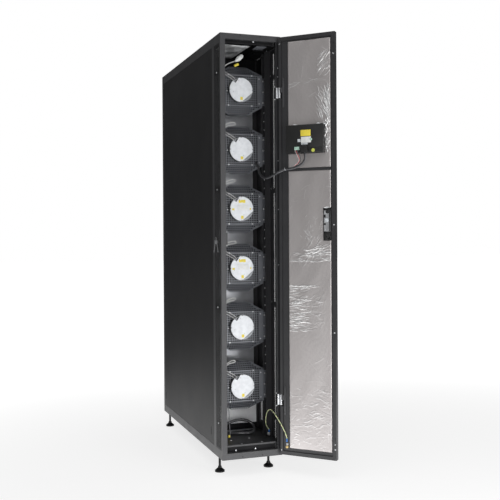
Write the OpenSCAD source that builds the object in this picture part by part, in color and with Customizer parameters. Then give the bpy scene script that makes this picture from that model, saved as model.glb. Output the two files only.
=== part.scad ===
// In row cooling unit: a 300 mm wide rack-row cooler with six fans behind a hinged front door.
// Millimetres. Origin: centre of the four bolt-down holes on the underside of the base frame.
// +X is the hinge side, -Y is the front, +Z is up. The front door is drawn open, the rear door closed.

/* [Cabinet] */
// overall width of the cabinet body, a half rack width
body_w = 300; // [300:1:330]
// depth of the welded frame without its doors
frame_d = 1170; // [1150:1:1200]
// height of the body above the underside of the base frame
body_h = 2000; // [1990:1:2040]
// sheet thickness of frame parts
sheet = 2; // [1.5:0.1:2.2]
// sheet thickness of panels and strips
panel_t = 1.5; // [1.2:0.1:1.8]
// visible width of the front and rear flanges
flange_w = 24; // [22:0.5:26]
// height of the side rail of the base frame
base_rail_h = 42; // [40:1:46]
// height of the side rail of the top frame
top_rail_h = 45; // [42:1:50]
// height of the lower front flange
base_lip_h = 30; // [28:1:34]
// height of the upper front flange
top_lip_h = 27; // [25:1:32]

/* [Front door] */
// width of both doors
door_w = 282; // [278:1:284]
// thickness of the front door
door_t = 32; // [30:0.5:36]
// gap between the frame and the inner face of a door
door_gap = 2; // [1.8:0.1:2.5]
// height of the lower door edge above the base
door_z0 = 9; // [6:1:12]
// gap from the upper door edge to the roof line
door_top_gap = 8; // [6:1:12]
// angle at which the front door is drawn, from closed
door_open = 135; // [0:1:135]
// height of the lower hinges
hinge_z_low = 268; // [240:1:300]
// height of the upper hinges
hinge_z_high = 1730; // [1680:1:1760]
// distance from the side of the cabinet to the hinge edge of a door
hinge_edge = 9; // [8.8:0.1:10]
// distance from the free edge of the front door to its lock spindle
lock_edge = 41; // [40:0.5:42]
// height of the lock spindle
lock_z = 1053; // [1048:1:1058]
// height of the lower edge of the controller box
ctrl_z = 1437; // [1420:1:1440]
// height of the controller box
ctrl_h = 131; // [126:1:136]
// height of the rear door latch
rear_lock_z = 1000; // [990:1:1010]
// hinge pin diameter
hinge_pin_d = 8; // [6:0.5:8]
// radial clearance between a hinge pin and its knuckle
hinge_clear = 0.05; // [0.03:0.01:0.08]

/* [Fans] */
// distance from the front of the cabinet to the fan mounting plates
plate_in = 160; // [154:1:166]
// distance from the front of the cabinet to the fan bulkhead
bulk_in = 318; // [316:1:322]
// vertical distance between fans
fan_pitch = 290; // [284:1:292]
// height of the lowest fan centre
fan_z0 = 313; // [306:1:316]
// outer diameter of an impeller
impeller_d = 220; // [200:1:222]
// axial width of an impeller
impeller_l = 76; // [70:1:78]
// diameter of the electronics housing on the front of a motor
motor_d = 120; // [110:1:124]
// diameter of a motor shaft
shaft_d = 16; // [12:0.5:20]
// radial clearance between a shaft and its impeller
shaft_clear = 0.05; // [0.03:0.01:0.08]
// width of a fan mounting plate
cradle_w = 232; // [224:1:234]
// height of a fan mounting plate
cradle_h = 148; // [140:1:152]

/* [Feet] */
// distance between left and right feet
foot_sx = 250; // [236:1:254]
// distance between front and rear feet
foot_sy = 1005; // [960:1:1020]
// share of the frame length not spanned by the feet that lies behind them
foot_behind = 0.2424242; // [0.2:0.01:0.4]
// diameter of a levelling foot stem
foot_stem_d = 12; // [10:1:14]
// diameter of a levelling foot pad
foot_pad_d = 48; // [40:1:60]
// height of the base above the floor
foot_h = 85; // [70:1:95]
// radial clearance of a stem in its bush
foot_clear = 0.08; // [0.05:0.01:0.1]

/* [Connections] */
// bolt-down hole spacing across the unit
bolt_sx = 200; // [180:1:210]
// bolt-down hole spacing along the unit
bolt_sy = 400; // [360:1:440]
// bolt-down hole diameter
bolt_d = 11; // [9:0.5:14]
// outer diameter of the chilled water pipes
pipe_d = 28; // [22:1:35]
// distance between the two chilled water pipes
pipe_pitch = 70; // [64:1:80]
// distance from the roof line down to the top of the power box
box_down = 200; // [180:5:260]
// height of the power box
box_h = 500; // [460:10:520]
// outer diameter of the condensate hose
hose_d = 14; // [12:1:16]

/* [Hidden] */
$fn = 32;
hw = body_w / 2;
yf = -(frame_d + 30) / 2;
yr = yf + frame_d;
z_top = body_h;
z_rail = body_h - top_rail_h;
door_z1 = body_h - door_top_gap;
door_x = hw - hinge_edge;
lock_u = door_w - lock_edge;
pivot_in = 9;
pivot_y = yf - door_gap - pivot_in;
fx = foot_sx / 2;
foot_ys = [yr - foot_sy - (frame_d - foot_sy) * foot_behind, yr - (frame_d - foot_sy) * foot_behind];
fan_zs = [for (i = [0:1:5]) fan_z0 + i * fan_pitch];
plate_y = yf + plate_in;
disc_l = 20;
bulk_y = yf + bulk_in;
wheel_y = bulk_y - 18;
rail_x0 = hw - 32;
rail_x1 = hw - 6;
screw_x = rail_x0 + 8;
lip_x = hw - 26;
coil_x = hw - 20;
coil_z1 = z_top - 100;
header_x = 60;
box_z1 = z_top - box_down;
bar_zs = [165, 714, 1270, z_top - 178];
rotor_y = wheel_y - impeller_l;
ir = impeller_d / 2;
ctrl_u = door_w - 51;
foil_u = door_w - 23;
bar_z = ctrl_z - 81;
black = "#1d1d20";
zinc = "#b9bcc0";

// --- helpers ---------------------------------------------------------------------------------------
module blk(a, b) {
  translate(a) cube([b[0] - a[0], b[1] - a[1], b[2] - a[2]]);
}
module both() {
  children();
  mirror([1, 0, 0]) children();
}
// frame-shaped ring in the x-z plane between y0 and y1
module ring(a, b, c, d, y0, y1) {
  difference() {
    blk([a[0], y0, a[1]], [b[0], y1, b[1]]);
    blk([c[0], y0 - 1, c[1]], [d[0], y1 + 1, d[1]]);
  }
}
// cylinder along +Y starting at a point
module ycyl(p, r, l) {
  translate(p) rotate([-90, 0, 0]) cylinder(r = r, h = l);
}
// profile of (radius, y) pairs turned about the Y axis through (0, 0, z)
module yturn(pts, z) {
  translate([0, 0, z]) rotate([-90, 0, 0]) rotate_extrude() polygon(pts);
}
// front door coordinates: u from the hinge edge, v outwards from the inner face, z up
module at_closed() {
  translate([door_x, yf - door_gap, 0]) rotate([0, 0, 180]) children();
}
module at_door() {
  translate([door_x, pivot_y, 0]) rotate([0, 0, door_open]) translate([-door_x, -pivot_y, 0])
    at_closed() children();
}
module at_rear() {
  translate([0, -30, 0]) mirror([0, 1, 0]) at_closed() children();
}
// pan head screw pointing along +Y, its head face at y
module screw_y(x, y, z, r = 4, h = 2.4) {
  translate([x, y, z]) rotate([90, 0, 0]) cylinder(r = r, h = h);
}
function unit(a) = a / norm(a);
function dir_at(p, i) = i == 0 ? unit(p[1] - p[0])
  : i == len(p) - 1 ? unit(p[i] - p[i - 1]) : unit(unit(p[i] - p[i - 1]) + unit(p[i + 1] - p[i]));
function catmull(p, i, t) = let (a = p[max(i - 1, 0)], b = p[i], c = p[i + 1],
    d = p[min(i + 2, len(p) - 1)])
  0.5 * (2 * b + (c - a) * t + (2 * a - 5 * b + 4 * c - d) * t * t
  + (3 * b - 3 * c + d - a) * t * t * t);
function smooth(p, n) = concat([for (i = [0:1:len(p) - 2]) for (k = [0:1:n - 1]) catmull(p, i, k / n)],
  [p[len(p) - 1]]);
// round tube of radius r swept along the points p with s sides
module tube(p, r, s, ref) {
  n = len(p);
  pts = [for (i = [0:1:n - 1]) let (d = dir_at(p, i), a = unit(cross(ref, d)), b = cross(d, a))
    for (k = [0:1:s - 1]) p[i] + r * (cos(360 * k / s) * a + sin(360 * k / s) * b)];
  sides = [for (i = [0:1:n - 2]) for (k = [0:1:s - 1]) let (q = (k + 1) % s)
    each [[i * s + k, i * s + q, (i + 1) * s + q], [i * s + k, (i + 1) * s + q, (i + 1) * s + k]]];
  c0 = [for (k = [s - 1:-1:0]) k];
  c1 = [for (k = [0:1:s - 1]) (n - 1) * s + k];
  mirror_fix = [for (f = concat(sides, [c0, c1])) [for (j = [len(f) - 1:-1:0]) f[j]]];
  polyhedron(points = pts, faces = mirror_fix, convexity = 6);
}

// --- frame -----------------------------------------------------------------------------------------
module base_frame() {
  color(black) difference() {
    union() {
      both() {
        blk([-hw, yf + sheet, 0], [-hw + sheet, yr, base_rail_h]);
        blk([-hw, yf, 0], [-hw + 30, yr, sheet]);
        blk([-hw, yf + sheet, base_rail_h - sheet], [-hw + 17, yr, base_rail_h]);
        for (y = foot_ys) {
          blk([-hw, y - 35, sheet], [-hw + 62, y + 35, sheet + 4]);
          translate([-fx, y, sheet]) cylinder(d = foot_stem_d + 14, h = 14);
        }
      }
      blk([-hw, yf, 0], [hw, yf + sheet, base_lip_h]);
      blk([-hw, yf, 0], [hw, yf + 60, sheet]);
      blk([-hw, yf, base_lip_h - sheet], [hw, yf + 20, base_lip_h]);
      blk([-lip_x, yf + 18, base_lip_h - sheet], [lip_x, yf + 20, 63]);
      blk([-hw, yr - sheet, 0], [hw, yr, base_rail_h]);
      blk([-hw, yr - 60, 0], [hw, yr, sheet]);
      blk([-hw, yr - 46, base_rail_h - sheet], [hw, yr, base_rail_h]);
      for (s = [-1, 1]) {
        blk([-hw, s * bolt_sy / 2 - 25, 0], [hw, s * bolt_sy / 2 + 25, 3]);
        blk([-hw, s * bolt_sy / 2 + 22, 0], [hw, s * bolt_sy / 2 + 25, 28]);
      }
    }
    for (s = [-1, 1]) for (y = foot_ys) translate([s * fx, y, -1])
      cylinder(r = foot_stem_d / 2 + foot_clear, h = 40);
    for (s = [-1, 1]) for (q = [-1, 1]) translate([s * bolt_sx / 2, q * bolt_sy / 2, -1])
      cylinder(d = bolt_d, h = 10);
  }
}
module top_frame() {
  color(black) union() {
    both() {
      blk([-hw, yf + sheet, z_rail], [-hw + sheet, yr, z_top]);
      blk([-hw, yf + sheet, z_top - 2 * sheet], [-hw + 22, yr, z_top - sheet]);
      blk([-hw, yf + sheet, z_rail], [-hw + 12, yr, z_rail + sheet]);
    }
    blk([-hw, yf, z_top - top_lip_h], [hw, yf + sheet, z_top]);
    blk([-lip_x, yf, z_top - top_lip_h], [lip_x, yf + 20, z_top - top_lip_h + sheet]);
    blk([-lip_x, yf + 18, z_top - top_lip_h - 16], [lip_x, yf + 20, z_top - top_lip_h + sheet]);
    blk([-hw, yf, z_top - 2 * sheet], [hw, yf + 40, z_top - sheet]);
    blk([-hw, yr - sheet, z_rail], [hw, yr, z_top]);
    blk([-hw, yr - 46, z_rail], [hw, yr, z_rail + sheet]);
    blk([-hw, yr - 40, z_top - 2 * sheet], [hw, yr, z_top - sheet]);
  }
}
module roof_panel() {
  color("#232326") translate([0, 0, z_top - sheet]) linear_extrude(height = sheet) difference() {
    translate([-hw + sheet, yf + sheet]) square([body_w - 2 * sheet, frame_d - 2 * sheet]);
    for (s = [-1, 1]) translate([s * pipe_pitch / 2 + header_x, 130]) circle(d = pipe_d + 24);
    translate([-70, yr - 190]) square([140, 60]);
    translate([-60, 130]) circle(d = 50);
  }
}
// left front post; strike adds the catch of the door latch
module front_post(strike) {
  difference() {
    union() {
      blk([-hw, yf, base_lip_h], [-hw + flange_w, yf + sheet, z_top - top_lip_h]);
      blk([-hw, yf, base_rail_h], [-hw + sheet, yf + 14, z_rail]);
      blk([-hw + flange_w - sheet, yf, base_rail_h + 20], [-hw + flange_w, yf + 20, z_rail - 16]);
      blk([-hw, yf + 12, base_rail_h], [-hw + panel_t + sheet, yf + 14, z_rail]);
      blk([-hw + panel_t, yf + 12, base_rail_h], [-hw + panel_t + sheet, yf + 152, z_rail]);
      blk([-hw, yf + 100, base_rail_h], [-hw + panel_t + sheet, yf + 134, z_rail]);
      blk([-hw + panel_t, yf + 132, base_rail_h + 20], [-hw + 32, yf + 134, z_rail]);
      if (strike) blk([-hw + flange_w - sheet, yf + sheet, lock_z - 43],
        [-hw + flange_w + 8, yf + 4, lock_z + 13]);
    }
    for (w = [[60, bar_zs[0] - 12], for (i = [0:1:2]) [bar_zs[i] + 12, bar_zs[i + 1] - 12],
      [bar_zs[3] + 12, z_rail - 18]])
      blk([-hw - 1, yf + 20, w[0]], [-hw + 10, yf + 98, w[1]]);
    blk([-hw + panel_t + sheet + 0.001, yf + 131, 0], [-hw + 40, yf + 135, base_rail_h + 20]);
  }
}
module rear_post(slot) {
  difference() {
    union() {
      blk([-hw, yr - sheet, base_rail_h], [-hw + flange_w, yr, z_rail]);
      blk([-hw, yr - 30, base_rail_h], [-hw + panel_t + sheet, yr, z_rail]);
      blk([-hw + panel_t, yr - 50, base_rail_h], [-hw + panel_t + sheet, yr, z_rail]);
      blk([-hw + flange_w - sheet, yr - 22, base_rail_h], [-hw + flange_w, yr, z_rail]);
    }
    if (slot) blk([-hw + flange_w - sheet - 1, yr - 16, rear_lock_z - 20],
      [-hw + flange_w + 1, yr - sheet, rear_lock_z + 20]);
  }
}
module front_post_left() { color(black) front_post(true); }
module front_post_right() { color(black) mirror([1, 0, 0]) front_post(false); }
module rear_post_left() { color(black) rear_post(true); }
module rear_post_right() { color(black) mirror([1, 0, 0]) rear_post(false); }
module side_panel() {
  difference() {
    blk([-hw, yf + 135.5, base_rail_h + 1.5], [-hw + panel_t, yr - 31.5, z_rail - 1.5]);
    for (y = [yf + 182, yr - 52]) for (z = [base_rail_h + 60, z_rail - 60])
      blk([-hw - 1, y - 3, z - 20], [-hw + panel_t + 1, y + 3, z + 20]);
  }
}
module side_panel_left() { color(black) side_panel(); }
module side_panel_right() { color(black) mirror([1, 0, 0]) side_panel(); }
module vent_strip() {
  h = z_rail - base_rail_h - 1;
  n = floor((h - 60) / 40);
  translate([-hw, yf + 14.5, base_rail_h + 0.5]) rotate([90, 0, 90]) linear_extrude(height = panel_t)
    difference() {
      square([85, h]);
      for (i = [0:1:3]) for (k = [0:1:n - 1])
        translate([10 + i * 18, 14 + k * 40 + (i % 2) * 20]) square([10, 28]);
    }
}
module vent_strip_left() { color(black) vent_strip(); }
module vent_strip_right() { color(black) mirror([1, 0, 0]) vent_strip(); }

// --- fan section -----------------------------------------------------------------------------------
module fan_bulkhead() {
  color("#2a2b2f") difference() {
    union() {
      blk([-hw + 3.5, bulk_y, 62], [hw - 3.5, bulk_y + 2, z_rail - 5]);
      both() blk([-hw + panel_t, bulk_y - 18, 62], [-hw + 3.5, bulk_y + 2, z_rail - 5]);
      blk([-rail_x0, bulk_y - 18, 60], [rail_x0, bulk_y + 2, 62]);
    }
    for (z = fan_zs) ycyl([0, bulk_y - 1, z], 92, 4);
    translate([0, 0, 80]) ycyl([-60, bulk_y - 1, 0], hose_d / 2 + 1, 4);
  }
}
module inlet_rings() {
  color(zinc) for (z = fan_zs) yturn([[90, bulk_y], [107, bulk_y], [107, bulk_y - 2], [94, bulk_y - 2],
    [84, bulk_y - 7], [78, bulk_y - 15], [77, bulk_y - 24], [75, bulk_y - 24], [76, bulk_y - 14],
    [82, bulk_y - 5]], z);
}
module fan_rails() {
  color(black) both() difference() {
    union() {
      blk([rail_x0, plate_y + 15, 60], [rail_x1, plate_y + 17, z_rail - 5]);
      blk([rail_x1 - 2, plate_y + 15, 60], [rail_x1, bulk_y, z_rail - 5]);
      blk([rail_x0 + 2, bulk_y - 2, 62], [rail_x1, bulk_y, z_rail - 5]);
    }
    for (z = fan_zs) for (d = [-53, 0, 53]) ycyl([screw_x, plate_y + 14, z + d], 2.6, 4);
    for (z = fan_zs) for (d = [-100, 100]) ycyl([rail_x1 - 12, plate_y + 14, z + d], 2.6, 4);
  }
}
// trapezoid wing sloping back from the edge of the mounting plate
module wing() {
  translate([0, plate_y, cradle_h / 2]) rotate([90 - 35, 0, 0]) translate([0, 0, -2])
    linear_extrude(height = 2) difference() {
      polygon([[-cradle_w / 2, 0], [cradle_w / 2, 0], [cradle_w / 2 - 4, 10], [48, 56], [-48, 56],
        [-cradle_w / 2 + 4, 10]]);
      for (i = [-4:1:4]) translate([i * 16 - 5, 10]) square([10, 10]);
      for (i = [-3:1:3]) translate([i * 16 - 5, 25]) square([10, 10]);
      for (i = [-2:1:2]) translate([i * 16 - 5, 40]) square([10, 8]);
    }
}
module fan_cradle(z) {
  color("#26272a") translate([0, 0, z]) difference() {
    union() {
      translate([0, plate_y + 2, 0]) rotate([90, 0, 0]) linear_extrude(height = 2) difference() {
        translate([-cradle_w / 2, -cradle_h / 2]) square([cradle_w, cradle_h]);
        for (i = [-5:1:5]) for (k = [-3:1:3]) if (norm([i, k]) * 16 > 66)
          translate([i * 16 - 5, k * 16 - 5]) square([10, 10]);
      }
      wing();
      mirror([0, 0, 1]) wing();
      for (s = [-1, 1]) blk([-cradle_w / 2, plate_y - 3, s * cradle_h / 2 - 3],
        [cradle_w / 2, plate_y + 1, s * cradle_h / 2 + 3]);
      both() blk([-cradle_w / 2, plate_y, -cradle_h / 2], [-cradle_w / 2 + 2, plate_y + 15, cradle_h / 2]);
      both() blk([-rail_x1 + 8, plate_y + 13, -68], [-cradle_w / 2 + 2, plate_y + 15, 68]);
    }
    ycyl([0, plate_y - 5, 0], 40, 20);
    for (s = [-1, 1]) for (d = [-53, 0, 53]) ycyl([s * screw_x, plate_y + 10, d], 2.6, 8);
  }
}
module fan_cradle_1() { fan_cradle(fan_zs[0]); }
module fan_cradle_2() { fan_cradle(fan_zs[1]); }
module fan_cradle_3() { fan_cradle(fan_zs[2]); }
module fan_cradle_4() { fan_cradle(fan_zs[3]); }
module fan_cradle_5() { fan_cradle(fan_zs[4]); }
module fan_cradle_6() { fan_cradle(fan_zs[5]); }
module fan_motors() {
  color("#c9cbce") for (z = fan_zs) translate([0, 0, z]) difference() {
    union() {
      yturn([[0, plate_y - disc_l], [motor_d / 2 - 2, plate_y - disc_l], [motor_d / 2, plate_y - disc_l + 2],
        [motor_d / 2, plate_y], [39.5, plate_y], [39.5, rotor_y - 0.5], [shaft_d / 2, rotor_y - 0.5],
        [shaft_d / 2, rotor_y + 52], [0, rotor_y + 52]], 0);
      ycyl([0, plate_y - disc_l - 1.2, 0], 30, 3);
    }
    translate([-33, plate_y - disc_l - 1, 47]) rotate([0, 35, 0]) blk([-12, 0, -9], [12, 15, 20]);
    for (a = [0, 90, 180, 270]) rotate([0, a, 0]) blk([-3, plate_y - disc_l - 1, motor_d / 2 - 4],
      [3, plate_y - disc_l + 6, motor_d / 2 + 2]);
    rotate([0, 48, 0]) blk([motor_d / 2 - 7, plate_y - disc_l - 1, -26],
      [motor_d / 2 + 2, plate_y - disc_l + 8, 26]);
  }
}
module blade() {
  intersection() {
    translate([-42, 52]) difference() {
      circle(r = 66);
      circle(r = 63.5);
    }
    difference() {
      circle(r = ir - 2);
      circle(r = 58);
    }
    translate([0, 0]) square([ir, ir]);
  }
}
module impeller(z) {
  color("#3a3b3f") translate([0, 0, z]) difference() {
    union() {
      ycyl([0, rotor_y, 0], ir, 2.5);
      ycyl([0, rotor_y, 0], 44, 56);
      translate([0, rotor_y + 1, 0]) rotate([-90, 0, 0]) linear_extrude(height = impeller_l - 20)
        for (a = [0:1:6]) rotate(a * 360 / 7) blade();
      translate([0, wheel_y, 0]) yturn([[80, 0], [82.5, 0], [84.5, -7], [ir - 14, -14.5], [ir, -18],
        [ir, -20.5], [ir - 15, -17.5], [82.5, -9], [80, -2]], 0);
    }
    ycyl([0, rotor_y - 1, 0], shaft_d / 2 + shaft_clear, 54);
  }
}
module impeller_1() { impeller(fan_zs[0]); }
module impeller_2() { impeller(fan_zs[1]); }
module impeller_3() { impeller(fan_zs[2]); }
module impeller_4() { impeller(fan_zs[3]); }
module impeller_5() { impeller(fan_zs[4]); }
module impeller_6() { impeller(fan_zs[5]); }
module cable_duct() {
  color("#5b5d60") union() {
    blk([-hw + 4, yf + 134, 80], [-hw + 28, yf + 160, z_rail - 40]);
    for (z = fan_zs) if (z + 140 < z_rail - 40)
      translate([-hw + 28, yf + 147, z + 118]) rotate([90, 0, 0]) rotate([0, 0, -90])
      rotate_extrude(angle = 180) translate([16, 0]) circle(r = 3);
  }
}
module fan_leads() {
  color("#6a6c70") for (z = fan_zs)
    tube([[-40, plate_y - 12, z + 56], [-52, plate_y - 16, z + 66], [-74, plate_y - 18, z + 76],
      [-94, plate_y - 20, z + 84], [-108, yf + 145, z + 88], [-115, yf + 147, z + 88],
      [-hw + 31, yf + 147, z + 88], [-hw + 28, yf + 147, z + 88]], 5, 6, [0, 1, 0.2]);
}

// --- floor, coil and water ---------------------------------------------------------------------------
module floor_tray() {
  color("#17171a") union() {
    blk([-hw + 4, yf + 22, 58], [hw - 4, 250, 60]);
    both() blk([-hw + 4, yf + 22, base_rail_h], [-hw + 6, 250, 58]);
    blk([-hw + 4, yf + 22, base_rail_h], [hw - 4, yf + 24, 58]);
  }
}
hose_pts = concat(smooth([[-60, -95, 80], [-60, -200, 80], [-60, -285, 80], [-58, -302, 85], [-46, -318, 99],
  [-15, -330, 116], [25, -334, 123], [64, -338, 115], [88, -348, 98], [92, -368, 80], [76, -388, 70],
  [46, -394, 67.5], [10, -386, 67.5], [-28, -368, 67.5], [-64, -342, 69], [-90, -316, 75],
  [-100, -300, 80], [-100, -290, 80]], 2), [[-100, bulk_y, 80]]);
module drain_hose() {
  color("#3b3d40") tube(hose_pts, hose_d / 2, 8, [0, 0, 1]);
}
module cooling_coil() {
  color("#b8bdc2") union() {
    for (i = [0:1:29]) translate([-coil_x + 5 + i * (2 * coil_x - 13.5) / 29, 0, 0])
      blk([0, -40, 64], [1.4, 80, coil_z1]);
    both() {
      blk([-coil_x, -42, 62], [-coil_x + 3, 82, coil_z1 + 2]);
      blk([-hw + panel_t, -42, 102], [-coil_x + 3, -40, coil_z1 + 2]);
    }
    for (z = [62, coil_z1]) blk([-coil_x, -42, z], [coil_x, 82, z + 2]);
    for (z = [200:236:coil_z1 - 50]) for (y = [-10, 50]) translate([-coil_x - 14, y, z]) rotate([0, 90, 0])
      cylinder(d = 12, h = 2 * coil_x + 14);
  }
}
module coil_headers() {
  color("#b06a3c") for (s = [-1, 1]) {
    translate([header_x + s * pipe_pitch / 2, 130, 150]) cylinder(d = pipe_d, h = z_top - 70 - 150);
    translate([header_x + s * pipe_pitch / 2, 130, z_top - 85]) cylinder(d = pipe_d + 12, h = 20);
    translate([header_x + s * pipe_pitch / 2, 130, z_top - 66]) cylinder(d = pipe_d, h = 51);
    for (z = [300:400:coil_z1 - 200]) ycyl([header_x + s * pipe_pitch / 2, 80, z + s * 40], 6, 50);
  }
}
module control_valve() {
  color("#a98b4c") difference() {
    union() {
      translate([header_x + pipe_pitch / 2, 130, coil_z1 - 60]) cylinder(d = pipe_d + 16, h = 60);
      blk([header_x + pipe_pitch / 2 - 14, 140, coil_z1 - 45],
        [header_x + pipe_pitch / 2 + 14, 190, coil_z1 - 15]);
      blk([header_x + pipe_pitch / 2 - 30, 190, coil_z1 - 70],
        [header_x + pipe_pitch / 2 + 30, 250, coil_z1 + 10]);
    }
    translate([header_x + pipe_pitch / 2, 130, coil_z1 - 100]) cylinder(r = pipe_d / 2 + 0.05, h = 120);
  }
}
module drain_pan() {
  color(zinc) difference() {
    union() {
      blk([-hw + 10, -70, 60], [hw - 10, 170, 100]);
      ycyl([-60, -95, 80], hose_d / 2, 30);
    }
    blk([-hw + 11.5, -68.5, 61.99], [hw - 11.5, 168.5, 101]);
    ycyl([-60, -96, 80], hose_d / 2 - 2, 40);
  }
}
module filter(z0, z1) {
  ring([-hw + 24, z0], [hw - 24, z1], [-hw + 42, z0 + 18], [hw - 42, z1 - 18], yr - 44, yr - 18);
  w = (hw - 42) / 9;
  for (i = [0:1:17]) translate([-hw + 42 + i * w, 0, z0 + 18]) linear_extrude(height = z1 - z0 - 36)
    polygon([[0, yr - 26], [w / 2, yr - 40], [w, yr - 26], [w, yr - 24], [w / 2, yr - 38], [0, yr - 24]]);
}
module air_filters() {
  color("#dfe3e6") {
    filter(base_rail_h, (base_rail_h + z_rail) / 2);
    filter((base_rail_h + z_rail) / 2, z_rail);
  }
}
module power_box() {
  color("#8b8f94") difference() {
    union() {
      blk([-hw + panel_t, yr - 270, box_z1 - box_h], [-hw + 88, yr - 90, box_z1]);
      blk([-hw + 88, yr - 266, box_z1 - box_h + 4], [-hw + 92, yr - 94, box_z1 - 4]);
      blk([-hw + 92, yr - 250, box_z1 - 260], [-hw + 98, yr - 238, box_z1 - 240]);
    }
    blk([-hw + 3, yr - 268, box_z1 - box_h + 2], [-hw + 86, yr - 92, box_z1 - 2]);
  }
}
module frame_screws() {
  color(zinc) union() {
    for (z = bar_zs) both() translate([-hw - 1.8, yf + 57, z])
      rotate([0, 90, 0]) cylinder(r = 4, h = 1.8);
    for (x = [-78, 20]) screw_y(x, yf + 18, 38);
    for (x = [-75, 20]) screw_y(x, yf + 18, z_top - top_lip_h - 8);
    for (p = [[-41, 40], [62, 46], [28, 131], [-70, 119]]) translate([p[0], yf + p[1], 60])
      cylinder(r = 4.5, h = 2.4);
    for (z = fan_zs) for (s = [-1, 1]) for (d = [-53, 0, 53]) {
      screw_y(s * screw_x, plate_y + 13, z + d, 4.5);
      ycyl([s * screw_x, plate_y + 13, z + d], 2.4, 10);
    }
    for (z = fan_zs) for (s = [-1, 1]) for (d = [-61, 61])
      screw_y(s * (cradle_w / 2 - 16), plate_y, z + d, 3);
    for (z = fan_zs) for (s = [-1, 1]) for (d = [-1, 1])
      blk([s * 60 - 5, plate_y - 5, z + d * cradle_h / 2 - 5],
        [s * 60 + 5, plate_y - 3, z + d * cradle_h / 2 + 5]);
    for (z = [912, 1176, 1408, z_top - 192, z_top - 150]) screw_y(hw - 13, yf, z, 2.6, 1.3);
    blk([hw - 26, yf + 126, 68], [hw - 14, yf + 132, 82]);
    translate([hw - 20, yf + 125, 66]) cylinder(r = 3, h = 18);
  }
}

// --- feet ------------------------------------------------------------------------------------------
module foot(x, y) {
  color("#222226") translate([x, y, 0]) rotate_extrude() polygon([[0, -foot_h], [foot_pad_d / 2, -foot_h],
    [foot_pad_d / 2, -foot_h + 7], [foot_pad_d / 2 - 3, -foot_h + 9], [10, -foot_h + 19],
    [foot_stem_d / 2 + 3, -foot_h + 26], [foot_stem_d / 2, -foot_h + 26], [foot_stem_d / 2, 19], [0, 19]]);
}
module foot_1() { foot(-fx, foot_ys[0]); }
module foot_2() { foot(fx, foot_ys[0]); }
module foot_3() { foot(-fx, foot_ys[1]); }
module foot_4() { foot(fx, foot_ys[1]); }

// --- hinges ----------------------------------------------------------------------------------------
kr = hinge_pin_d / 2 + 2.5;
module frame_leaf() {
  for (z = [hinge_z_low, hinge_z_high]) {
    blk([door_x - 14, yf - 4, z - 24.5], [door_x + 6.5, yf, z + 24.5]);
    blk([door_x - kr, pivot_y, z - 24.5], [door_x + kr, yf - 4, z]);
    translate([door_x, pivot_y, z - 24.5]) cylinder(r = kr, h = 24.5);
    translate([door_x, pivot_y, z - 24.5]) cylinder(d = hinge_pin_d, h = 48.5);
  }
}
module frame_hinges() {
  color(zinc) union() {
    frame_leaf();
    translate([0, -30, 0]) mirror([0, 1, 0]) frame_leaf();
  }
}
module door_leaf() {
  for (z = [hinge_z_low, hinge_z_high]) difference() {
    union() {
      blk([17, 3, z - 70], [27, 6.5, z + 70]);
      blk([0, 3.5, z + 0.4], [18, 6.5, z + 24.5]);
      translate([0, pivot_in, z + 0.4]) cylinder(r = kr, h = 24.1);
    }
    translate([0, pivot_in, z - 30]) cylinder(r = hinge_pin_d / 2 + hinge_clear, h = 60);
  }
}
module door_hinge_leaves() { color(zinc) at_door() door_leaf(); }
module rear_hinge_leaves() { color(zinc) at_rear() door_leaf(); }

// --- front door ------------------------------------------------------------------------------------
module hinge_cut() {
  for (z = [hinge_z_low, hinge_z_high]) blk([-10, -10, z - 28], [14.5, 23, z + 28]);
}
module skin_2d(o, r) {
  union() {
    translate([o, 1.5]) square([door_w - 2 * o, door_t - 1.5 - o - r]);
    translate([o + r, 1.5]) square([door_w - 2 * o - 2 * r, door_t - 1.5 - o]);
    for (u = [o + r, door_w - o - r]) translate([u, door_t - o - r]) circle(r = r);
  }
}
module door_skin() {
  color(black) at_door() difference() {
    union() {
      translate([0, 0, door_z0]) linear_extrude(height = door_z1 - door_z0) difference() {
        skin_2d(0, 9);
        skin_2d(1.5, 7.5);
        translate([1.5, 0]) square([door_w - 3, 4]);
      }
      blk([1, 1.5, door_z0], [door_w - 1, door_t - 9, door_z0 + 1.5]);
      blk([9, 1.5, door_z0], [door_w - 9, door_t - 1, door_z0 + 1.5]);
      blk([1, 1.5, door_z1 - 1.5], [door_w - 1, door_t - 9, door_z1]);
      blk([9, 1.5, door_z1 - 1.5], [door_w - 9, door_t - 1, door_z1]);
    }
    hinge_cut();
    blk([70, door_t - 5, ctrl_z + 23], [ctrl_u - 21, door_t + 2, ctrl_z + ctrl_h - 23]);
    ycyl([lock_u, door_t - 5, lock_z], 9, 10);
  }
}
module door_inner_frame() {
  color(black) at_door() difference() {
    union() {
      ring([0, door_z0], [door_w, door_z1], [13, 26], [door_w - 17, door_z1 - 18], 0, 1.5);
      ring([11.5, 24.5], [door_w - 15.5, door_z1 - 16.5], [13, 26], [door_w - 17, door_z1 - 18], 0.5, 8);
      ring([12.5, 25.5], [door_w - 16.5, door_z1 - 17.5], [47, 44], [foil_u, door_z1 - 26], 6.5, 8);
      blk([46.9, -1, bar_z], [foil_u + 0.1, 8, bar_z + 12]);
    }
    hinge_cut();
    for (z = [60, 110, 600, 1100, 1600, 1890, 1940]) ycyl([door_w - 6, -1, z], 2.5, 4);
  }
}
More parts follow.
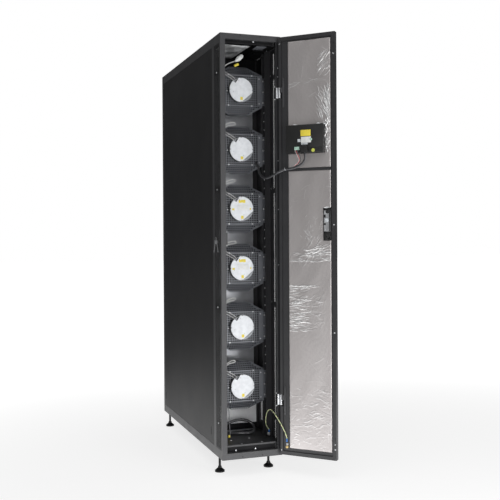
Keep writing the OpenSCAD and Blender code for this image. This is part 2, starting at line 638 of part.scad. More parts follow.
module door_insulation() {
  color("#b9b9bb") at_door() difference() {
    union() {
      blk([47, 3, 44], [foil_u, door_t - 1.5, bar_z]);
      blk([47, 3, bar_z + 12], [foil_u, door_t - 1.5, door_z1 - 26]);
    }
    blk([lock_u - 17, 0, lock_z - 24], [lock_u + 19, 8, lock_z + 126]);
    ycyl([lock_u, -1, lock_z], 9, door_t + 4);
    blk([44.5, 0, ctrl_z - 1], [ctrl_u + 0.5, 20, ctrl_z + ctrl_h + 1]);
    blk([69, 10, ctrl_z + 22], [ctrl_u - 20, door_t + 2, ctrl_z + ctrl_h - 22]);
  }
}
module controller_box() {
  color("#222326") at_door() difference() {
    blk([47, -24, ctrl_z], [ctrl_u, 20, ctrl_z + ctrl_h]);
    blk([48.5, -22.5, ctrl_z + 1.5], [ctrl_u - 1.5, 18.5, ctrl_z + ctrl_h - 1.5]);
  }
}
module door_terminals() {
  color("#2f6b4c") at_door() {
    translate([0, 0, ctrl_z]) {
      blk([80, -34, 13], [107, -24, 28]);
      blk([110, -40, 0], [145, -24, 32]);
      blk([97, -30, 51], [110, -24, 67]);
      blk([152, -32, 7], [164, -24, 23]);
    }
    blk([28, 4.5, 42], [38, 6.5, 64]);
    translate([31, 3.5, 60]) cylinder(r = 3, h = 24);
    ycyl([33.5, -1.5, 48], 8, 6);
  }
}
module display_panel() {
  color("#101114") at_door() difference() {
    union() {
      blk([62, door_t, ctrl_z + 13], [ctrl_u - 13, door_t + 4, ctrl_z + ctrl_h - 12]);
      blk([71, door_t - 8, ctrl_z + 24], [ctrl_u - 22, door_t, ctrl_z + ctrl_h - 24]);
    }
    blk([72, door_t + 3, ctrl_z + 33], [ctrl_u - 23, door_t + 6, ctrl_z + ctrl_h - 22]);
  }
}
module lock_body() {
  color(zinc) at_door() difference() {
    union() {
      blk([lock_u - 13, -8, lock_z + 16], [lock_u + 15, 8, lock_z + 114]);
      blk([lock_u - 15, 4, lock_z - 22], [lock_u + 18, 8, lock_z + 124]);
      blk([lock_u - 7, -5, lock_z + 114], [lock_u + 15, 8, lock_z + 124]);
      blk([lock_u - 7, -5, lock_z - 22], [lock_u + 15, 8, lock_z - 17]);
      ycyl([lock_u, -6, lock_z], 16, 14);
    }
    ycyl([lock_u, -10, lock_z], 6.05, 30);
  }
}
module latch_cam() {
  color(zinc) at_door() union() {
    ycyl([lock_u, -10.5, lock_z], 6, door_t + 10.5 + 20);
    ycyl([lock_u, -10.5, lock_z], 9, 4);
    blk([lock_u - 6, -10.5, lock_z - 24], [lock_u + 6, -6.5, lock_z]);
    blk([lock_u - 7, door_t + 7, lock_z - 6], [lock_u + 7, door_t + 20, lock_z + 6]);
    translate([lock_u, door_t + 13.5, lock_z - 12.5]) cylinder(r = 2.5, h = 25);
  }
}
module handle_dish() {
  color(black) at_door() difference() {
    blk([lock_u - 17, door_t, lock_z - 173], [lock_u + 17, door_t + 6, lock_z + 31]);
    blk([lock_u - 13, door_t + 3, lock_z - 169], [lock_u + 13, door_t + 8, lock_z - 19]);
    ycyl([lock_u, door_t - 4, lock_z], 6.05, 20);
  }
}
module handle_lever() {
  color(black) at_door() difference() {
    union() {
      blk([lock_u - 140, door_t + 8, lock_z - 12], [lock_u - 16, door_t + 19, lock_z + 12]);
      for (s = [-1, 1]) {
        translate([lock_u, door_t + 13.5, lock_z + s * 9.5 - 2.9]) cylinder(r = 6, h = 5.8);
        blk([lock_u - 17, door_t + 8, lock_z + s * 9.5 - 2.9], [lock_u, door_t + 19, lock_z + s * 9.5 + 2.9]);
      }
    }
    translate([lock_u, door_t + 13.5, lock_z - 20]) cylinder(r = 2.55, h = 40);
  }
}

// --- cords -----------------------------------------------------------------------------------------
dc = [door_x, pivot_y];
// point on the open front door from door coordinates
function on_door(u, v, z) = let (a = -u, b = pivot_in - v, c = cos(door_open), s = sin(door_open))
  [dc[0] + c * a - s * b, dc[1] + s * a + c * b, z];
cable_pts = concat([on_door(128, -33, ctrl_z)], smooth([on_door(128, -33, 1431), on_door(128, -33, 1415),
  on_door(108, -24, 1392), on_door(72, -14, 1376), on_door(36, -14, 1364), [120, -640, 1350],
  [110, -590, 1338], [100, -545, 1330], [90, -505, 1338], [84, -478, 1362], [81, plate_y - 23, 1396]], 2),
  [[81, plate_y - 12, 1409], [81, plate_y - 5, 1411], [81, plate_y, 1411]]);
module controller_cable() {
  color("#3c3d40") tube(cable_pts, 6, 8, [0.3, 0.2, 1]);
}
wire_pts = concat([on_door(31, 3.5, 84)], smooth([on_door(31, 3.5, 92), [150, -634, 118], [134, -622, 156],
  [118, -600, 190], [113, -568, 207], [108, -540, 209], [104, -516, 190], [104, -498, 152], [110, -487, 126],
  [119, -479, 110], [127, yf + 124.2, 100]], 2), [[hw - 20, yf + 125, 91], [hw - 20, yf + 125, 84]]);
module earth_wire() {
  color("#c9c23a") tube(wire_pts, 2.5, 8, [0.3, 0.2, 1]);
}

// --- rear door ---------------------------------------------------------------------------------------
rear_t = 28;
module rear_door() {
  color(black) at_rear() difference() {
    union() {
      difference() {
        blk([0, 0, door_z0], [door_w, rear_t, door_z1]);
        blk([2, -1, door_z0 + 2], [door_w - 2, rear_t - 2, door_z1 - 2]);
        blk([32, 0, 40], [door_w - 32, rear_t + 1, door_z1 - 31]);
      }
      blk([14.5, 6.5, door_z0 + 2], [30, 8, door_z1 - 2]);
      blk([28.5, 6.5, door_z0 + 2], [30, rear_t - 2, door_z1 - 2]);
      blk([door_w - 30.5, 16, rear_lock_z - 20], [door_w - 16, 26.5, rear_lock_z + 20]);
    }
    hinge_cut();
    ycyl([door_w - 24, 0, rear_lock_z], 5.05, 40);
  }
}
module rear_door_mesh() {
  w = (door_w - 72) / 5;
  color("#2b2c2f") at_rear() translate([0, rear_t - 2, 0]) rotate([90, 0, 0]) linear_extrude(height = 1.5)
    difference() {
      translate([31, 39]) square([door_w - 62, door_z1 - 69]);
      for (i = [0:1:4]) for (k = [0:1:floor((door_z1 - 105) / 59)]) translate([40 + i * w, 52 + k * 59])
        square([w - 8, 50]);
    }
}
module rear_latch() {
  color(zinc) at_rear() union() {
    ycyl([door_w - 24, -10, rear_lock_z], 5, 42);
    ycyl([door_w - 24, 28.5, rear_lock_z], 13, 7);
    blk([door_w - 30, -10, rear_lock_z - 26], [door_w - 18, -6, rear_lock_z]);
    ycyl([door_w - 24, -10, rear_lock_z], 8, 4);
  }
}

base_frame();
top_frame();
front_post_left();
front_post_right();
rear_post_left();
rear_post_right();
side_panel_left();
side_panel_right();
roof_panel();
vent_strip_left();
vent_strip_right();
fan_bulkhead();
inlet_rings();
fan_rails();
fan_cradle_1();
fan_cradle_2();
fan_cradle_3();
fan_cradle_4();
fan_cradle_5();
fan_cradle_6();
impeller_1();
impeller_2();
impeller_3();
impeller_4();
impeller_5();
impeller_6();
fan_motors();
fan_leads();
cable_duct();
floor_tray();
drain_hose();
cooling_coil();
coil_headers();
control_valve();
drain_pan();
air_filters();
power_box();
frame_screws();
frame_hinges();
foot_1();
foot_2();
foot_3();
foot_4();
door_skin();
door_inner_frame();
door_insulation();
display_panel();
controller_box();
door_terminals();
lock_body();
door_hinge_leaves();
latch_cam();
handle_dish();
handle_lever();
controller_cable();
earth_wire();
rear_door();
rear_door_mesh();
rear_hinge_leaves();
rear_latch();
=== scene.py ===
"""Dresses the in row cooling unit: fine meshes, finishes, cords, camera and plain studio light."""

import logging
import math
import random
from dataclasses import dataclass
from enum import Enum
from typing import Callable, Iterable, Optional, Sequence, Union

import bmesh
import bpy
from mathutils import Matrix, Vector


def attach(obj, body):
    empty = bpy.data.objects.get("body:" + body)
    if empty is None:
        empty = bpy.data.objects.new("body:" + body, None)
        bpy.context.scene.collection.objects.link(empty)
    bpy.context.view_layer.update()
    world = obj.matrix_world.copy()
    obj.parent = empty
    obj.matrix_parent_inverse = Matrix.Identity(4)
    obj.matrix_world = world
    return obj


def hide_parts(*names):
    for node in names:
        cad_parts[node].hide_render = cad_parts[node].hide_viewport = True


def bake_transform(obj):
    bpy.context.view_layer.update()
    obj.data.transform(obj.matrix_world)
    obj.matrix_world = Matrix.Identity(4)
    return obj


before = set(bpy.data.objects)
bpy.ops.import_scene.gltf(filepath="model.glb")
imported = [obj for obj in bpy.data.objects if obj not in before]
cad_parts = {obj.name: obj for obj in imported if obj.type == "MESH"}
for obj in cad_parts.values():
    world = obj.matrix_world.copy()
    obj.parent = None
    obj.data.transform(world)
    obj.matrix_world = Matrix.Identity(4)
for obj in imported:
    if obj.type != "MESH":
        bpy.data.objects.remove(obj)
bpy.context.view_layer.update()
LOG = logging.getLogger("cooler")
MM = 0.001
# cosine of the widest angle at which a face still counts as looking along an axis
FACING = 0.9
Point = Sequence[float]
Value = Union[float, Sequence[float], "Sock"]
Crease = tuple[float, float, float, float, float, float]

# sizes of the part, in metres, that the fine pieces share; MOTOR_Y is the motors' front face and
# TAB_Y the front of the cradles' fixing tabs
HALF_W = 0.150
FRONT_Y = -0.600
PLATE_Y = -0.440
MOTOR_Y = PLATE_Y - 20 * MM
TAB_Y = PLATE_Y + 13 * MM
BULK_Y = -0.282
HINGE_ZS = (0.268, 1.730)
RAIL_TOP = 1.955
RAIL_LOW = 0.042
FAN_Z = tuple(0.313 + 0.290 * i for i in range(6))
PIVOT = Vector((0.141, -0.611, 0.0))
DOOR_INSET = 0.009
OPEN = math.radians(135.0)
DOOR = Matrix(((-math.cos(OPEN), math.sin(OPEN), 0, PIVOT.x - DOOR_INSET * math.sin(OPEN)),
               (-math.sin(OPEN), -math.cos(OPEN), 0, PIVOT.y + DOOR_INSET * math.cos(OPEN)),
               (0, 0, 1, 0), (0, 0, 0, 1)))
# turns a flat sheet upright, and mirrors a piece top to bottom
STAND = Matrix.Rotation(math.pi / 2, 4, "X")
FLIP = Matrix.Diagonal((1, 1, -1, 1))
# the lock's spindle, in millimetres on the door
LOCK_U = 241
LOCK_Z = 1053


class Body(str, Enum):
    """The moving bodies that pieces ride on."""

    CABINET = "cabinet"
    DOOR = "front_door"
    LATCH = "door_latch"
    HANDLE = "door_handle"
    REAR = "rear_door"


class Pick(str, Enum):
    """What an edit-mode selection is made of."""

    FACE = "FACE"
    EDGE = "EDGE"


# --- shader building --------------------------------------------------------------------------------
class Sock:
    """A node's output, on which Python arithmetic adds Math nodes."""

    def __init__(self, tree: "Tree", out: bpy.types.NodeSocket) -> None:
        """Keeps the tree and the output socket."""
        self.tree, self.out = tree, out

    def _math(self, operation: str, *values: Value) -> "Sock":
        """Adds one Math node.

        Args:
            operation: the node's operation.
            values: its inputs in order.

        Returns:
            The node's result.
        """
        return self.tree.node("ShaderNodeMath", {"operation": operation}, dict(enumerate(values)))

    def __add__(self, other: Value) -> "Sock":
        """Adds."""
        return self._math("ADD", self, other)

    def __sub__(self, other: Value) -> "Sock":
        """Subtracts."""
        return self._math("SUBTRACT", self, other)

    def __rsub__(self, other: Value) -> "Sock":
        """Subtracts from a number."""
        return self._math("SUBTRACT", other, self)

    def __mul__(self, other: Value) -> "Sock":
        """Multiplies."""
        return self._math("MULTIPLY", self, other)

    __radd__ = __add__
    __rmul__ = __mul__

    def fraction(self) -> "Sock":
        """Keeps what stands behind the decimal point."""
        return self._math("FRACT", self)

    def sine(self) -> "Sock":
        """Gives the sine of an angle in radians."""
        return self._math("SINE", self)

    def larger(self, other: Value) -> "Sock":
        """Gives the larger of two values."""
        return self._math("MAXIMUM", self, other)

    def clip(self, low: float, high: float) -> "Sock":
        """Maps low..high to 0..1 with a smooth step.

        Args:
            low: value that becomes 0.
            high: value that becomes 1.

        Returns:
            The stepped value.
        """
        return self.tree.node("ShaderNodeMapRange", {"interpolation_type": "SMOOTHSTEP"},
                              {"Value": self, "From Min": low, "From Max": high})


class Tree:
    """The node tree of a material or a world."""

    def __init__(self, name: str, owner: Optional[bpy.types.ID] = None) -> None:
        """Empties the owner's tree.

        Args:
            name: the material's name.
            owner: a world, or None for a new material.
        """
        self.material = owner or bpy.data.materials.new(name)
        self.material.use_nodes = True
        self.nodes = self.material.node_tree.nodes
        self.nodes.clear()

    def node(self, kind: str, settings: Optional[dict] = None, inputs: Optional[dict] = None,
             out: Union[int, str] = 0) -> Sock:
        """Adds a node, sets its settings first and then its sockets.

        Args:
            kind: the node's type.
            settings: attributes of the node.
            inputs: values or links by socket name or index.
            out: the output that is returned.

        Returns:
            The chosen output.
        """
        made = self.nodes.new(kind)
        for key, value in (settings or {}).items():
            setattr(made, key, value)
        for key, value in (inputs or {}).items():
            if isinstance(value, Sock):
                self.material.node_tree.links.new(value.out, made.inputs[key])
            else:
                made.inputs[key].default_value = value
        return Sock(self, made.outputs[out])

    def place(self, stretch: Point = (1, 1, 1), source: str = "Object") -> Sock:
        """Gives pattern coordinates.

        Args:
            stretch: scale of the pattern along each axis.
            source: Object or UV.

        Returns:
            The coordinate vector.
        """
        at = self.node("ShaderNodeTexCoord", out=source)
        return self.node("ShaderNodeMapping", inputs={"Vector": at, "Scale": stretch})

    def noise(self, size: float, at: Optional[Sock] = None, detail: float = 3.0) -> Sock:
        """Gives noise whose lumps are about size metres.

        Args:
            size: size of a lump.
            at: coordinates.
            detail: number of finer layers.

        Returns:
            A value from 0 to 1.
        """
        return self.node("ShaderNodeTexNoise",
                         inputs={"Vector": at or self.place(), "Scale": 1 / size, "Detail": detail})

    def mix(self, share: Value, a: Value, b: Value) -> Sock:
        """Mixes two colours.

        Args:
            share: 0 gives a and 1 gives b.
            a: first colour.
            b: second colour.

        Returns:
            The mixed colour.
        """
        return self.node("ShaderNodeMix", {"data_type": "RGBA"}, {0: share, 6: a, 7: b}, out=2)

    def axes(self, vector: Sock) -> tuple[Sock, Sock, Sock]:
        """Splits a vector.

        Args:
            vector: the vector.

        Returns:
            Its x, y and z.
        """
        split = [self.node("ShaderNodeSeparateXYZ", inputs={"Vector": vector}, out=axis)
                 for axis in "XYZ"]
        return split[0], split[1], split[2]

    def attribute(self, name: str) -> Sock:
        """Reads a vertex attribute's value."""
        return self.node("ShaderNodeAttribute", {"attribute_name": name}, out="Fac")

    def bump(self, height: Sock, strength: float, distance: float) -> Sock:
        """Adds a Bump node.

        Args:
            height: the relief.
            strength: share of the relief that shows.
            distance: depth in metres.

        Returns:
            The normal.
        """
        return self.node("ShaderNodeBump", inputs={"Height": height, "Strength": strength,
                                                   "Distance": distance})

    def surface(self, **inputs: Value) -> bpy.types.Material:
        """Adds the shader and the output.

        Args:
            inputs: the shader's sockets, with _ for a space.

        Returns:
            The finished material.
        """
        named = {key.replace("_", " "): value for key, value in inputs.items()}
        shader = self.node("ShaderNodeBsdfPrincipled", inputs=named, out="BSDF")
        self.node_output(shader)
        return self.material

    def node_output(self, shader: Sock, kind: str = "ShaderNodeOutputMaterial") -> None:
        """Links a shader to the output."""
        end = self.nodes.new(kind)
        self.material.node_tree.links.new(shader.out, end.inputs["Surface"])


def rgba(colour: Point) -> tuple[float, float, float, float]:
    """Gives a colour with full alpha."""
    return (colour[0], colour[1], colour[2], 1.0)


@dataclass(frozen=True)
class Finish:
    """A finish with a fine grain, slow mottling and a spread of roughness."""

    name: str
    colour: tuple[float, float, float]
    shade: tuple[float, float, float]
    rough: float = 0.5
    spread: float = 0.12
    metal: float = 0.0
    coat: float = 0.0
    specular: float = 0.5
    grain: float = 0.7 * MM
    depth: float = 0.02 * MM
    mottle: float = 0.06
    stretch: tuple[float, float, float] = (1.0, 1.0, 1.0)

    def material(self) -> bpy.types.Material:
        """Makes the material once and gives it back afterwards."""
        name = f"{self.name}_finish"
        return bpy.data.materials.get(name) or self.build(Tree(name))

    def build(self, tree: Tree) -> bpy.types.Material:
        """Builds the node tree.

        Args:
            tree: an empty tree.

        Returns:
            The material.
        """
        at = tree.place(self.stretch)
        patches = tree.noise(self.mottle, at)
        grain = tree.noise(self.grain, at, 2.0)
        colour = tree.mix(patches.clip(0.3, 0.7), rgba(self.colour), rgba(self.shade))
        rough = (patches - 0.5) * self.spread + (grain - 0.5) * (self.spread * 0.6) + self.rough
        return tree.surface(Base_Color=colour, Roughness=rough, Metallic=self.metal,
                            Coat_Weight=self.coat, Specular_IOR_Level=self.specular,
                            Normal=tree.bump(grain, 0.5, self.depth))


@dataclass(frozen=True)
class ZincPlate(Finish):
    """Zinc plating with soft crystal patches."""

    def build(self, tree: Tree) -> bpy.types.Material:
        """Builds cell-shaped patches over the grain.

        Args:
            tree: an empty tree.

        Returns:
            The material.
        """
        cells = tree.node("ShaderNodeTexVoronoi", inputs={"Vector": tree.place(self.stretch),
                                                          "Scale": 1 / self.mottle}, out="Color")
        tone = tree.node("ShaderNodeSeparateColor", inputs={"Color": cells}, out="Red")
        grain = tree.noise(self.grain)
        colour = tree.mix(tone, rgba(self.colour), rgba(self.shade))
        rough = (tone - 0.5) * self.spread + (grain - 0.5) * self.spread + self.rough
        return tree.surface(Base_Color=colour, Roughness=rough, Metallic=self.metal,
                            Normal=tree.bump(grain, 0.4, self.depth))


@dataclass(frozen=True)
class Turned(Finish):
    """A cast housing with a turned bright front face, whose side behind it is painted dark as its shade."""

    # side: colour of the housing's side, painted dark as the shade on the side wall
    side: tuple[float, float, float] = (0.1, 0.1, 0.1)
    face_y: float = 0.0

    def build(self, tree: Tree) -> bpy.types.Material:
        """Builds the bright face, cast speckles and the painted shade on the side behind it.

        Args:
            tree: an empty tree.

        Returns:
            The material.
        """
        patches = tree.noise(self.mottle)
        grain = tree.noise(self.grain, detail=2.0)
        depth = tree.axes(tree.place())[1]
        face = tree.mix(patches.clip(0.3, 0.7), rgba(self.colour), rgba(self.shade))
        face = tree.mix(grain.clip(0.66, 0.80) * 0.35, face, rgba(self.side))
        # behind the front face, the side takes the painted shade colour
        colour = tree.mix(depth.clip(self.face_y, self.face_y + 0.001), face, rgba(self.side))
        rough = (patches - 0.5) * self.spread + (grain - 0.5) * (self.spread * 0.6) + self.rough
        return tree.surface(Base_Color=colour, Roughness=rough, Metallic=self.metal,
                            Normal=tree.bump(grain, 0.5, self.depth))


@dataclass(frozen=True)
class Foil(Finish):
    """Crinkled foil: painted highlights along the creases from the mesh, fine crackle from the shader."""

    # colour of the painted highlights along the creases
    crease_glint: tuple[float, float, float] = (0.9, 0.9, 0.9)

    def build(self, tree: Tree) -> bpy.types.Material:
        """Builds the foil with the painted highlight attribute of its creases.

        Args:
            tree: an empty tree.

        Returns:
            The material.
        """
        # this attribute paints highlights along the creases
        lines = tree.attribute("crease_glint").clip(0.08, 0.75)
        patches = tree.noise(self.mottle, tree.place(self.stretch), 4.0)
        crackle = tree.node("ShaderNodeTexVoronoi", {"feature": "DISTANCE_TO_EDGE"},
                            {"Vector": tree.place(), "Scale": 1 / self.grain}, out="Distance")
        base = tree.mix(patches.clip(0.35, 0.65), rgba(self.colour), rgba(self.shade))
        colour = tree.mix(lines, base, rgba(self.crease_glint))
        rough = (patches - 0.5) * self.spread - lines * 0.12 + self.rough
        normal = tree.bump(crackle.clip(0.0, 0.3) + patches * 1.5, 0.25, self.depth)
        return tree.surface(Base_Color=colour, Roughness=rough, Metallic=self.metal, Normal=normal)


@dataclass(frozen=True)
class Striped(Finish):
    """Insulation with a helical stripe of so many turns in a metre, on the cord's own map."""

    turns: float = 40.0

    def build(self, tree: Tree) -> bpy.types.Material:
        """Builds stripes from the cord's map: x along in metres, y around from 0 to 1.

        Args:
            tree: an empty tree.

        Returns:
            The material.
        """
        along, around, _ = tree.axes(tree.place(source="UV"))
        stripe = (along * self.turns + around).fraction().clip(0.42, 0.48)
        grain = tree.noise(self.grain)
        colour = tree.mix(stripe, rgba(self.colour), rgba(self.shade))
        return tree.surface(Base_Color=colour, Roughness=(grain - 0.5) * self.spread + self.rough,
                            Normal=tree.bump(grain, 0.3, self.depth))


@dataclass(frozen=True)
class Ribbed(Finish):
    """A surface with fine parallel ribs, such as coil fins or a threaded stem."""

    pitch: float = 2.0 * MM
    along: tuple[float, float, float] = (1.0, 0.0, 0.0)

    def build(self, tree: Tree) -> bpy.types.Material:
        """Builds ribs across one axis over the base finish, with their valleys painted darker as their shade.

        Args:
            tree: an empty tree.

        Returns:
            The material.
        """
        x, y, z = tree.axes(tree.place([value / self.pitch for value in self.along]))
        wave = ((x + y + z) * (2 * math.pi)).sine() * 0.5 + 0.5
        patches = tree.noise(self.mottle)
        # the valleys between ribs are painted darker: painted shade
        colour = tree.mix(wave * 0.6 + patches * 0.4, rgba(self.shade), rgba(self.colour))
        rough = (patches - 0.5) * self.spread + self.rough
        return tree.surface(Base_Color=colour, Roughness=rough, Metallic=self.metal,
                            Normal=tree.bump(wave, 0.6, self.depth))


POWDER = Finish("powder_black", (0.046, 0.046, 0.049), (0.040, 0.040, 0.043), 0.46, 0.10, specular=0.55)
# darker copy of the black powder coat for the right post and rails; its darkness is painted shade
POWDER_SHADED = Finish("powder_painted_shade", (0.018, 0.018, 0.020), (0.014, 0.014, 0.016), 0.46, 0.10, specular=0.45)
# darker copy of the black powder coat for the door and tray; its darkness paints the shade on the door's band
# and the tray
DOOR_POWDER_SHADED = Finish("door_powder_painted_shade", (0.028, 0.028, 0.030), (0.023, 0.023, 0.025), 0.42, 0.10, specular=0.5)
PANEL = Finish("panel_black", (0.015, 0.015, 0.016), (0.012, 0.012, 0.013), 0.50, 0.10, specular=0.28,
               mottle=0.3)
BULKHEAD = Finish("bulkhead_grey", (0.52, 0.53, 0.56), (0.42, 0.43, 0.46), 0.34, 0.12, 0.35, mottle=0.05)
CRADLE = Finish("cradle_black", (0.165, 0.172, 0.190), (0.135, 0.141, 0.157), 0.36, 0.12, 0.2)
ZINC = ZincPlate("zinc", (0.66, 0.67, 0.69), (0.56, 0.57, 0.59), 0.34, 0.12, 0.85, mottle=6 * MM)
GALVANISED = ZincPlate("galvanised", (0.62, 0.63, 0.65), (0.50, 0.51, 0.54), 0.36, 0.14, 0.8, mottle=14 * MM)
# bright turned face, with the side behind it painted dark as its shade
ALLOY = Turned("motor_alloy", (0.83, 0.85, 0.88), (0.74, 0.76, 0.79), 0.55, 0.10, 0.10, grain=1.6 * MM,
               depth=0.05 * MM, mottle=0.02, side=(0.055, 0.057, 0.062), face_y=PLATE_Y - 18.8 * MM)
IMPELLER = Finish("impeller_dark", (0.012, 0.012, 0.013), (0.009, 0.009, 0.010), 0.42, 0.10)
LEAD = Finish("lead_grey", (0.20, 0.20, 0.21), (0.15, 0.15, 0.16), 0.5, 0.1, grain=1.5 * MM)
LEAD_PALE = Finish("lead_white", (0.62, 0.62, 0.61), (0.55, 0.55, 0.54), 0.45, 0.1, grain=1.5 * MM)
DUCT = Ribbed("duct_grey", (0.16, 0.165, 0.17), (0.07, 0.072, 0.075), 0.55, 0.1, pitch=10 * MM,
              depth=0.8 * MM, along=(0.0, 0.0, 1.0))
HOSE = Finish("hose_rubber", (0.070, 0.072, 0.078), (0.045, 0.046, 0.050), 0.22, 0.12, coat=0.8,
              grain=2 * MM)
COIL = Ribbed("coil_alloy", (0.70, 0.72, 0.74), (0.45, 0.47, 0.50), 0.35, 0.12, 0.9, pitch=3 * MM,
              depth=0.4 * MM, along=(0.0, 0.0, 1.0))
COPPER = Finish("copper", (0.62, 0.30, 0.17), (0.48, 0.22, 0.13), 0.32, 0.2, 0.95, mottle=0.03)
BRASS = Finish("valve_brass", (0.62, 0.47, 0.22), (0.52, 0.39, 0.18), 0.42, 0.16, 0.9, grain=1.2 * MM,
               depth=0.08 * MM, mottle=0.015)
FILTER = Finish("filter_white", (0.78, 0.80, 0.80), (0.66, 0.68, 0.69), 0.85, 0.1, grain=1.6 * MM,
                depth=0.3 * MM, mottle=0.04)
ENCLOSURE = Finish("enclosure_grey", (0.34, 0.35, 0.37), (0.30, 0.31, 0.33), 0.42, 0.1)
FOOT = Finish("foot_black", (0.004, 0.004, 0.005), (0.003, 0.003, 0.003), 0.34, 0.12, specular=0.25,
              mottle=0.015)
FOIL = Foil("foil", (0.585, 0.555, 0.55), (0.54, 0.51, 0.505), 0.46, 0.08, 0.9, grain=9 * MM, depth=0.2 * MM,
            mottle=0.12, stretch=(1.0, 1.0, 0.35))
SCREEN = Finish("screen", (0.010, 0.011, 0.014), (0.014, 0.015, 0.018), 0.12, 0.05, coat=0.6)
BOX_BLACK = Finish("box_black", (0.014, 0.014, 0.014), (0.011, 0.011, 0.011), 0.45, 0.1)
GREEN = Finish("terminal_green", (0.46, 0.66, 0.56), (0.38, 0.58, 0.48), 0.45, 0.1, mottle=0.006)
CABLE = Finish("cable_black", (0.035, 0.035, 0.038), (0.028, 0.028, 0.030), 0.38, 0.1, grain=1.5 * MM)
EARTH = Striped("wire_earth", (0.80, 0.77, 0.46), (0.46, 0.56, 0.30), 0.42, 0.1)
YELLOW = Finish("label_yellow", (0.83, 0.68, 0.075), (0.79, 0.64, 0.065), 0.5, 0.1, mottle=0.012)
WHITE = Finish("label_white", (0.62, 0.65, 0.68), (0.56, 0.59, 0.62), 0.5, 0.1, mottle=0.01)
# near-white matte stand-in for foil, whose brightness paints its highlights where little light reaches
LINING_PAINTED_BRIGHT = Finish("foil_lining_painted_light", (0.97, 0.98, 0.99), (0.88, 0.89, 0.91), 0.30, 0.12, 0.0, grain=5 * MM,
                depth=0.05 * MM, mottle=0.03)
# ceiling foil: its bright and dark patches are painted reflections and shade
FOIL_PAINTED_REFLECTIONS = Finish("foil_painted_reflections", (0.97, 0.98, 0.99), (0.22, 0.225, 0.23), 0.34, 0.12, 0.35, grain=5 * MM,
                depth=0.05 * MM, mottle=0.045, stretch=(1.0, 0.55, 1.0))
# grey of the motor facet: painted shade of its recess
FACET_SHADE = Finish("facet_painted_shade", (0.30, 0.31, 0.33), (0.24, 0.25, 0.27), 0.5, 0.1, 0.2, mottle=0.012)
# black for the plugs, also for sheets that paint shade on the frame's lips and behind the cradles' holes, and
# for the bulkhead's dark bands
GASKET_AND_SHADE = Finish("black_gasket_and_painted_shade", (0.009, 0.009, 0.010), (0.006, 0.006, 0.007), 0.6, 0.1, specular=0.15)
PAPER = Finish("label_blank", (0.80, 0.81, 0.80), (0.72, 0.73, 0.73), 0.55, 0.08, mottle=0.012)
BLUE = Finish("crimp_blue", (0.035, 0.16, 0.50), (0.025, 0.12, 0.42), 0.35, 0.1, mottle=0.006)
RED = Finish("wire_red", (0.55, 0.04, 0.035), (0.45, 0.03, 0.03), 0.4, 0.1, grain=1.5 * MM)
CABLE_GREY = Finish("cable_grey", (0.16, 0.16, 0.17), (0.12, 0.12, 0.13), 0.42, 0.1, grain=1.5 * MM)
YELLOW_GREEN = Finish("sticker_lime", (0.62, 0.66, 0.12), (0.55, 0.60, 0.10), 0.45, 0.1, mottle=0.008)

NODE_FINISHES = {
    POWDER: ("base_frame", "top_frame", "front_post_left", "rear_post_left", "rear_post_right",
             "handle_dish", "handle_lever", "rear_door"),
    DOOR_POWDER_SHADED: ("door_skin", "door_inner_frame", "floor_tray"),
    POWDER_SHADED: ("front_post_right", "fan_rails"),
    PANEL: ("side_panel_left", "side_panel_right", "roof_panel", "vent_strip_left", "vent_strip_right",
            "rear_door_mesh"),
    BULKHEAD: ("fan_bulkhead",),
    CRADLE: tuple(f"fan_cradle_{i}" for i in range(1, 7)),
    ZINC: ("frame_screws", "frame_hinges", "lock_body", "door_hinge_leaves", "latch_cam",
           "rear_hinge_leaves", "rear_latch"),
    GALVANISED: ("inlet_rings", "drain_pan"),
    ALLOY: ("fan_motors",),
    IMPELLER: tuple(f"impeller_{i}" for i in range(1, 7)),
    LEAD: ("fan_leads",),
    DUCT: ("cable_duct",),
    HOSE: ("drain_hose",),
    COIL: ("cooling_coil",),
    COPPER: ("coil_headers",),
    BRASS: ("control_valve",),
    FILTER: ("air_filters",),
    ENCLOSURE: ("power_box",),
    FOOT: tuple(f"foot_{i}" for i in range(1, 5)),
    FOIL: ("door_insulation",),
    SCREEN: ("display_panel",),
    BOX_BLACK: ("controller_box",),
    GREEN: ("door_terminals",),
    CABLE: ("controller_cable",),
    EARTH: ("earth_wire",),
}


def dress_nodes() -> None:
    """Gives every carried-over node its finish."""
    for finish, nodes in NODE_FINISHES.items():
        for node in nodes:
            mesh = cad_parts[node].data
            mesh.materials.clear()
            mesh.materials.append(finish.material())


# --- the bench: mesh work by edit-mode operators ----------------------------------------------------
def shift(x: float = 0.0, y: float = 0.0, z: float = 0.0) -> Matrix:
    """Gives a move."""
    return Matrix.Translation((x, y, z))


def clear_selection() -> None:
    """Leaves object mode with nothing selected."""
    if bpy.context.object and bpy.context.object.mode != "OBJECT":
        bpy.ops.object.mode_set(mode="OBJECT")
    bpy.ops.object.select_all(action="DESELECT")


def select_only(obj: bpy.types.Object) -> None:
    """Leaves object mode with one object selected and active."""
    clear_selection()
    obj.select_set(True)
    bpy.context.view_layer.objects.active = obj


def drop(obj: bpy.types.Object) -> None:
    """Takes a helper off the bench."""
    bpy.data.objects.remove(obj)


